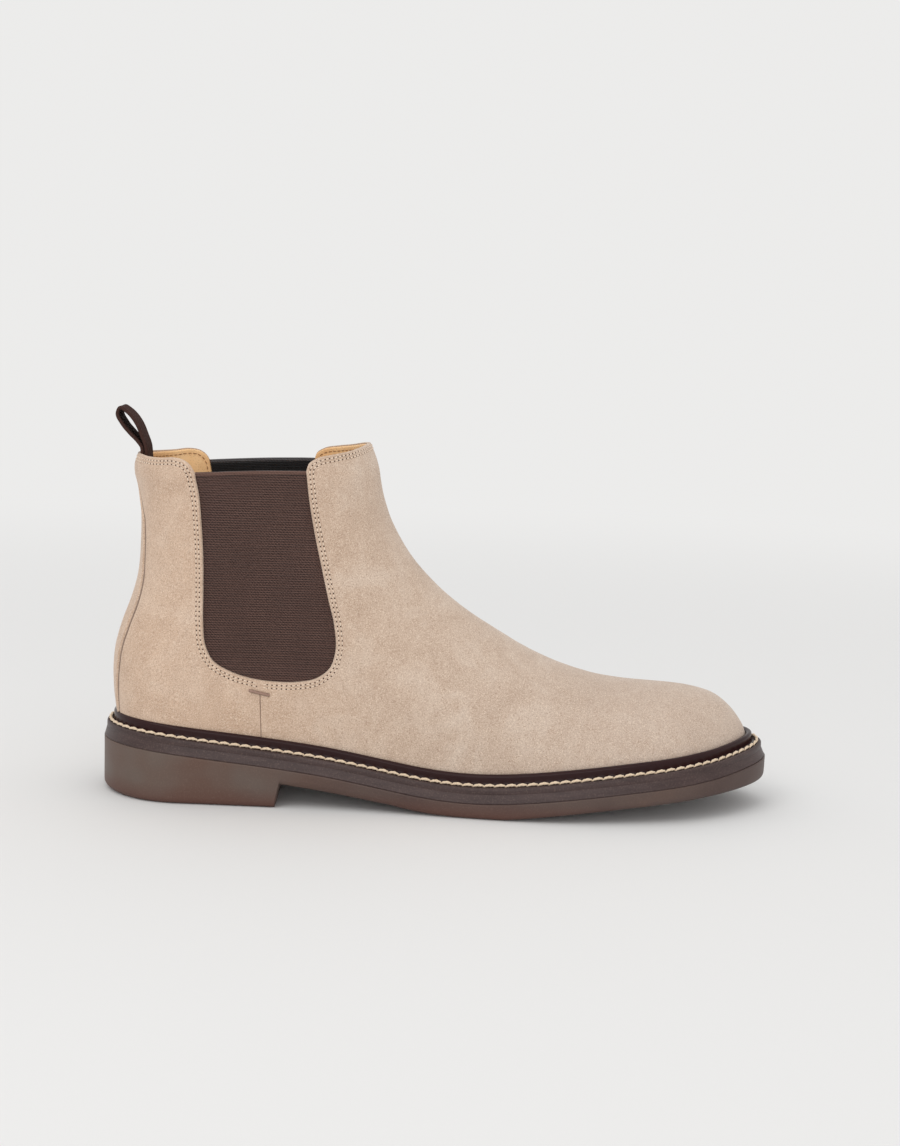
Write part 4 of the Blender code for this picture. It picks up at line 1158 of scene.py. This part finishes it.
def all_looks():
    return {
        "suede": suede_look(),
        "lining": lining_look(),
        "elastic": elastic_look("brown elastic", srgb(104, 78, 70), srgb(52, 37, 34), srgb(124, 96, 86)),
        "elastic_band": elastic_look("brown elastic fold",
                                     srgb(106, 80, 71), srgb(84, 62, 55), srgb(126, 98, 88)),
        "black": elastic_look("black elastic", srgb(32, 31, 33), srgb(17, 17, 18), srgb(44, 42, 44)),
        "black_band": elastic_look("black elastic fold",
                                   srgb(92, 90, 93), srgb(64, 63, 65), srgb(104, 102, 105)),
        "welt": welt_look(),
        "midsole": midsole_look(),
        "rubber": rubber_look(),
        "thread": thread_look("cream thread", srgb(236, 216, 190), srgb(198, 174, 146)),
        "upper_thread": thread_look("beige thread", srgb(234, 216, 197), srgb(206, 182, 161), 0.7),
        "lining_thread": thread_look("tan thread", srgb(176, 126, 78), srgb(140, 96, 58), 0.7),
        # Dark brown: painted shade inside the needle holes.
        "hole": plain_look("needle hole shade", srgb(78, 48, 34), srgb(46, 29, 22), 900, 1.0, 0.00003),
        "tack": thread_look("bar tack thread", srgb(180, 150, 134), srgb(118, 90, 78), 0.7),
        # Seam thread, darker than the suede: partly painted shade in the back seam's slit.
        "seam_thread_and_shade": thread_look("seam thread and shade", srgb(156, 136, 122), srgb(128, 108, 96), 0.8),
        "tape": tape_look(),
        "cork": plain_look("cork", srgb(176, 128, 82), srgb(110, 72, 42), 320, 0.9, 0.0004),
        "steel": plain_look("shank steel",
                            srgb(150, 152, 156), srgb(120, 122, 126), 300, 0.35, 0.00002, Metallic=1.0),
        "board": plain_look("insole board", srgb(176, 138, 100), srgb(150, 112, 78), 260, 0.8, 0.0001),
        "canvas": plain_look("rib canvas", srgb(214, 206, 188), srgb(188, 178, 158), 900, 0.9, 0.0002),
        "foam": plain_look("heel foam", srgb(74, 70, 68), srgb(52, 49, 48), 1100, 0.95, 0.0003),
        "stiffener": plain_look("stiffener", srgb(216, 208, 192), srgb(190, 180, 162), 500, 0.85, 0.0001),
    }


# ---- studio ----

FLOOR_ALBEDO, BACKDROP = 0.78, 0.84


def glow_far(look, near_lit):
    """The backdrop's even tone; on the floor it takes over from the lit surface away from the boot."""
    glow = look.add("ShaderNodeEmission", Color=(BACKDROP * 1.0, BACKDROP * 0.995, BACKDROP * 0.985, 1))
    output = look.tree.nodes["Material Output"]
    if not near_lit:
        look.link(glow.outputs[0], output.inputs["Surface"])
        return
    reach = look.add("ShaderNodeVectorMath", look.place, [("operation", "LENGTH")])
    fade = look.add("ShaderNodeMapRange", None, [("interpolation_type", "SMOOTHSTEP")],
                    From_Min=0.35, From_Max=1.3)
    look.link(reach.outputs["Value"], fade.inputs["Value"])
    both = look.add("ShaderNodeMixShader")
    look.link(fade.outputs["Result"], both.inputs[0])
    look.link(look.shader.outputs[0], both.inputs[1])
    look.link(glow.outputs[0], both.inputs[2])
    look.link(both.outputs[0], output.inputs["Surface"])


def studio():
    floor_look = Look("studio floor", 0.75, Specular_IOR_Level=0.1)
    floor_look.colour(grey(FLOOR_ALBEDO))
    glow_far(floor_look, True)
    wall_look = Look("studio wall", 0.9)
    glow_far(wall_look, False)
    radius, bend, turns = 3.2, 1.6, 96
    circle = [(math.cos(a), math.sin(a)) for a in np.linspace(0, 2 * math.pi, turns, endpoint=False)]

    def round_sheet(name, profile, look, middle=()):
        points = [(reach * x, reach * y, height) for reach, height in profile for x, y in circle]
        mesh = bpy.data.meshes.new(name)
        mesh.from_pydata(points, [], [face[::-1] for face in quads(len(profile), turns)] + list(middle))
        mesh.shade_smooth()
        mesh.materials.append(look.material)
        return placed(name, mesh)

    floor = round_sheet("floor", [(0.6, 0), (1.6, 0), (radius, 0)], floor_look, [range(turns)])
    curve = [(radius + bend * math.sin(a), bend * (1 - math.cos(a))) for a in np.linspace(0, math.pi / 2, 14)]
    wall = round_sheet("backdrop", curve + [(radius + bend, 5.0)], wall_look)
    wall.visible_diffuse = wall.visible_glossy = wall.visible_shadow = wall.visible_transmission = False


def soft_light(name, place, aim, size, power, colour=(1, 1, 1)):
    data = bpy.data.lights.new(name, "AREA")
    data.shape = "RECTANGLE"
    data.size, data.size_y = size
    data.energy = power
    data.color = colour
    lamp = placed(name, data)
    lamp.location = place
    lamp.rotation_euler = (Vector(aim) - Vector(place)).to_track_quat("-Z", "Y").to_euler()


def lights():
    world = bpy.data.worlds.new("studio light")
    world.use_nodes = True
    with_inputs(world.node_tree.nodes["Background"], Color=(1.0, 0.995, 0.985, 1), Strength=0.835)
    bpy.context.scene.world = world
    soft_light("key", (-1.0, -1.25, 1.75), (0, 0, 0.06), (1.3, 1.1), 9, (1, 0.985, 0.96))
    soft_light("top", (0.15, 0.2, 1.9), (0, 0, 0.05), (1.4, 1.0), 3)
    soft_light("front", (0.1, -2.15, 0.5), (0, 0, 0.06), (2.0, 0.8), 9.0)


CAMERA_PLACE, CAMERA_TURN, CAMERA_LENS = (-0.0103, -0.8837, 0.2255), (0.88, 7.89, 1.91), 61.08


def camera():
    """The photograph's camera: to the right, down and rolled by the degrees of CAMERA_TURN."""
    yaw, pitch, roll = (math.radians(v) for v in CAMERA_TURN)
    ahead = Vector((math.sin(yaw) * math.cos(pitch), math.cos(yaw) * math.cos(pitch), -math.sin(pitch)))
    right = Vector((math.cos(yaw), -math.sin(yaw), 0))
    up = right.cross(ahead)
    turned = right * math.cos(roll) + up * math.sin(roll)
    risen = up * math.cos(roll) - right * math.sin(roll)
    data = bpy.data.cameras.new("photo camera")
    data.sensor_width, data.lens = 36, CAMERA_LENS
    data.clip_start, data.clip_end = 0.02, 60
    made = placed("photo camera", data)
    made.matrix_world = Matrix([*zip(turned, risen, -ahead, CAMERA_PLACE), (0, 0, 0, 1)])
    bpy.context.scene.camera = made


# ---- everything together ----


def upper_rides(piece):
    """Bakes the piece's placement into its mesh."""
    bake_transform(piece)


def build_upper(look):
    vamp, quarters, shaft, front = upper_pieces(look)
    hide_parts("vamp")
    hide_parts("quarter_lateral", "quarter_top_lateral")
    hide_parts("quarter_medial", "quarter_top_medial")
    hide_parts("quarter_lining", "shaft_lining")
    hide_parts("vamp_lining")
    stitches, holes, lining_stitches = upper_stitches(look)
    for piece, name in ((back_seam_thread_and_shade(look["seam_thread_and_shade"]), "suede"), (vamp, "suede"),
                        (quarters[0], "suede"), (quarters[1], "suede"),
                        (shaft, "lining_leather"), (front, "lining_leather"),
                        (stitches, "suede"), (holes, "suede"), (lining_stitches, "lining_leather")):
        upper_rides(piece)


def build_gores(look):
    for side, word, rise in ((-1, "lateral", 0), (1, "medial", 0.8)):
        gore = ribbed_gore("elastic_" + word, side, 1.78, 0.6, look["elastic"], look["elastic_band"], 4.5,
                           -rise, 1)
        back = ribbed_gore("elastic_back_" + word, side, 2.45, 0.5, look["black"], look["black_band"], 0.2,
                           -0.1 - rise, -1)
        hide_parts("gore_" + word)
        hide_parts("gore_backing_" + word)
        tack = bar_tack("bar_tack_" + word, side, look["tack"])
        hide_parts("bartack_" + word)
        for piece in (gore, back, tack):
            upper_rides(piece)


def build_tab(look):
    tab = pull_tab(look["tape"])
    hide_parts("pull_tab")
    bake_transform(tab)


def build_sole(look):
    for make, node, name in ((outsole, "outsole", "outsole_rubber"), (midsole, "midsole", "midsole_leather"),
                             (welt, "welt", "welt_leather"), (welt_stitches, "welt_thread", "welt_thread"),
                             (sock_liner, "sock_liner", "lining_leather")):
        piece = make(look)
        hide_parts(node)
        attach(piece, "boot")


def dress_hidden(look):
    """The hidden CAD nodes keep their shapes and get a look."""
    for node, name in (("cork_filler", "cork"), ("shank", "steel"), ("insole_board", "board"),
                       ("insole_rib", "canvas"), ("heel_pad", "foam"), ("toe_puff", "stiffener"),
                       ("heel_counter", "stiffener"), ("pull_tab_anchor", "tape")):
        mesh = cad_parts[node].data
        mesh.materials.clear()
        mesh.materials.append(look[name])


looks = all_looks()
build_upper(looks)
build_gores(looks)
build_tab(looks)
build_sole(looks)
dress_hidden(looks)
studio()
lights()
camera()
bpy.context.scene.view_settings.view_transform = "Standard"
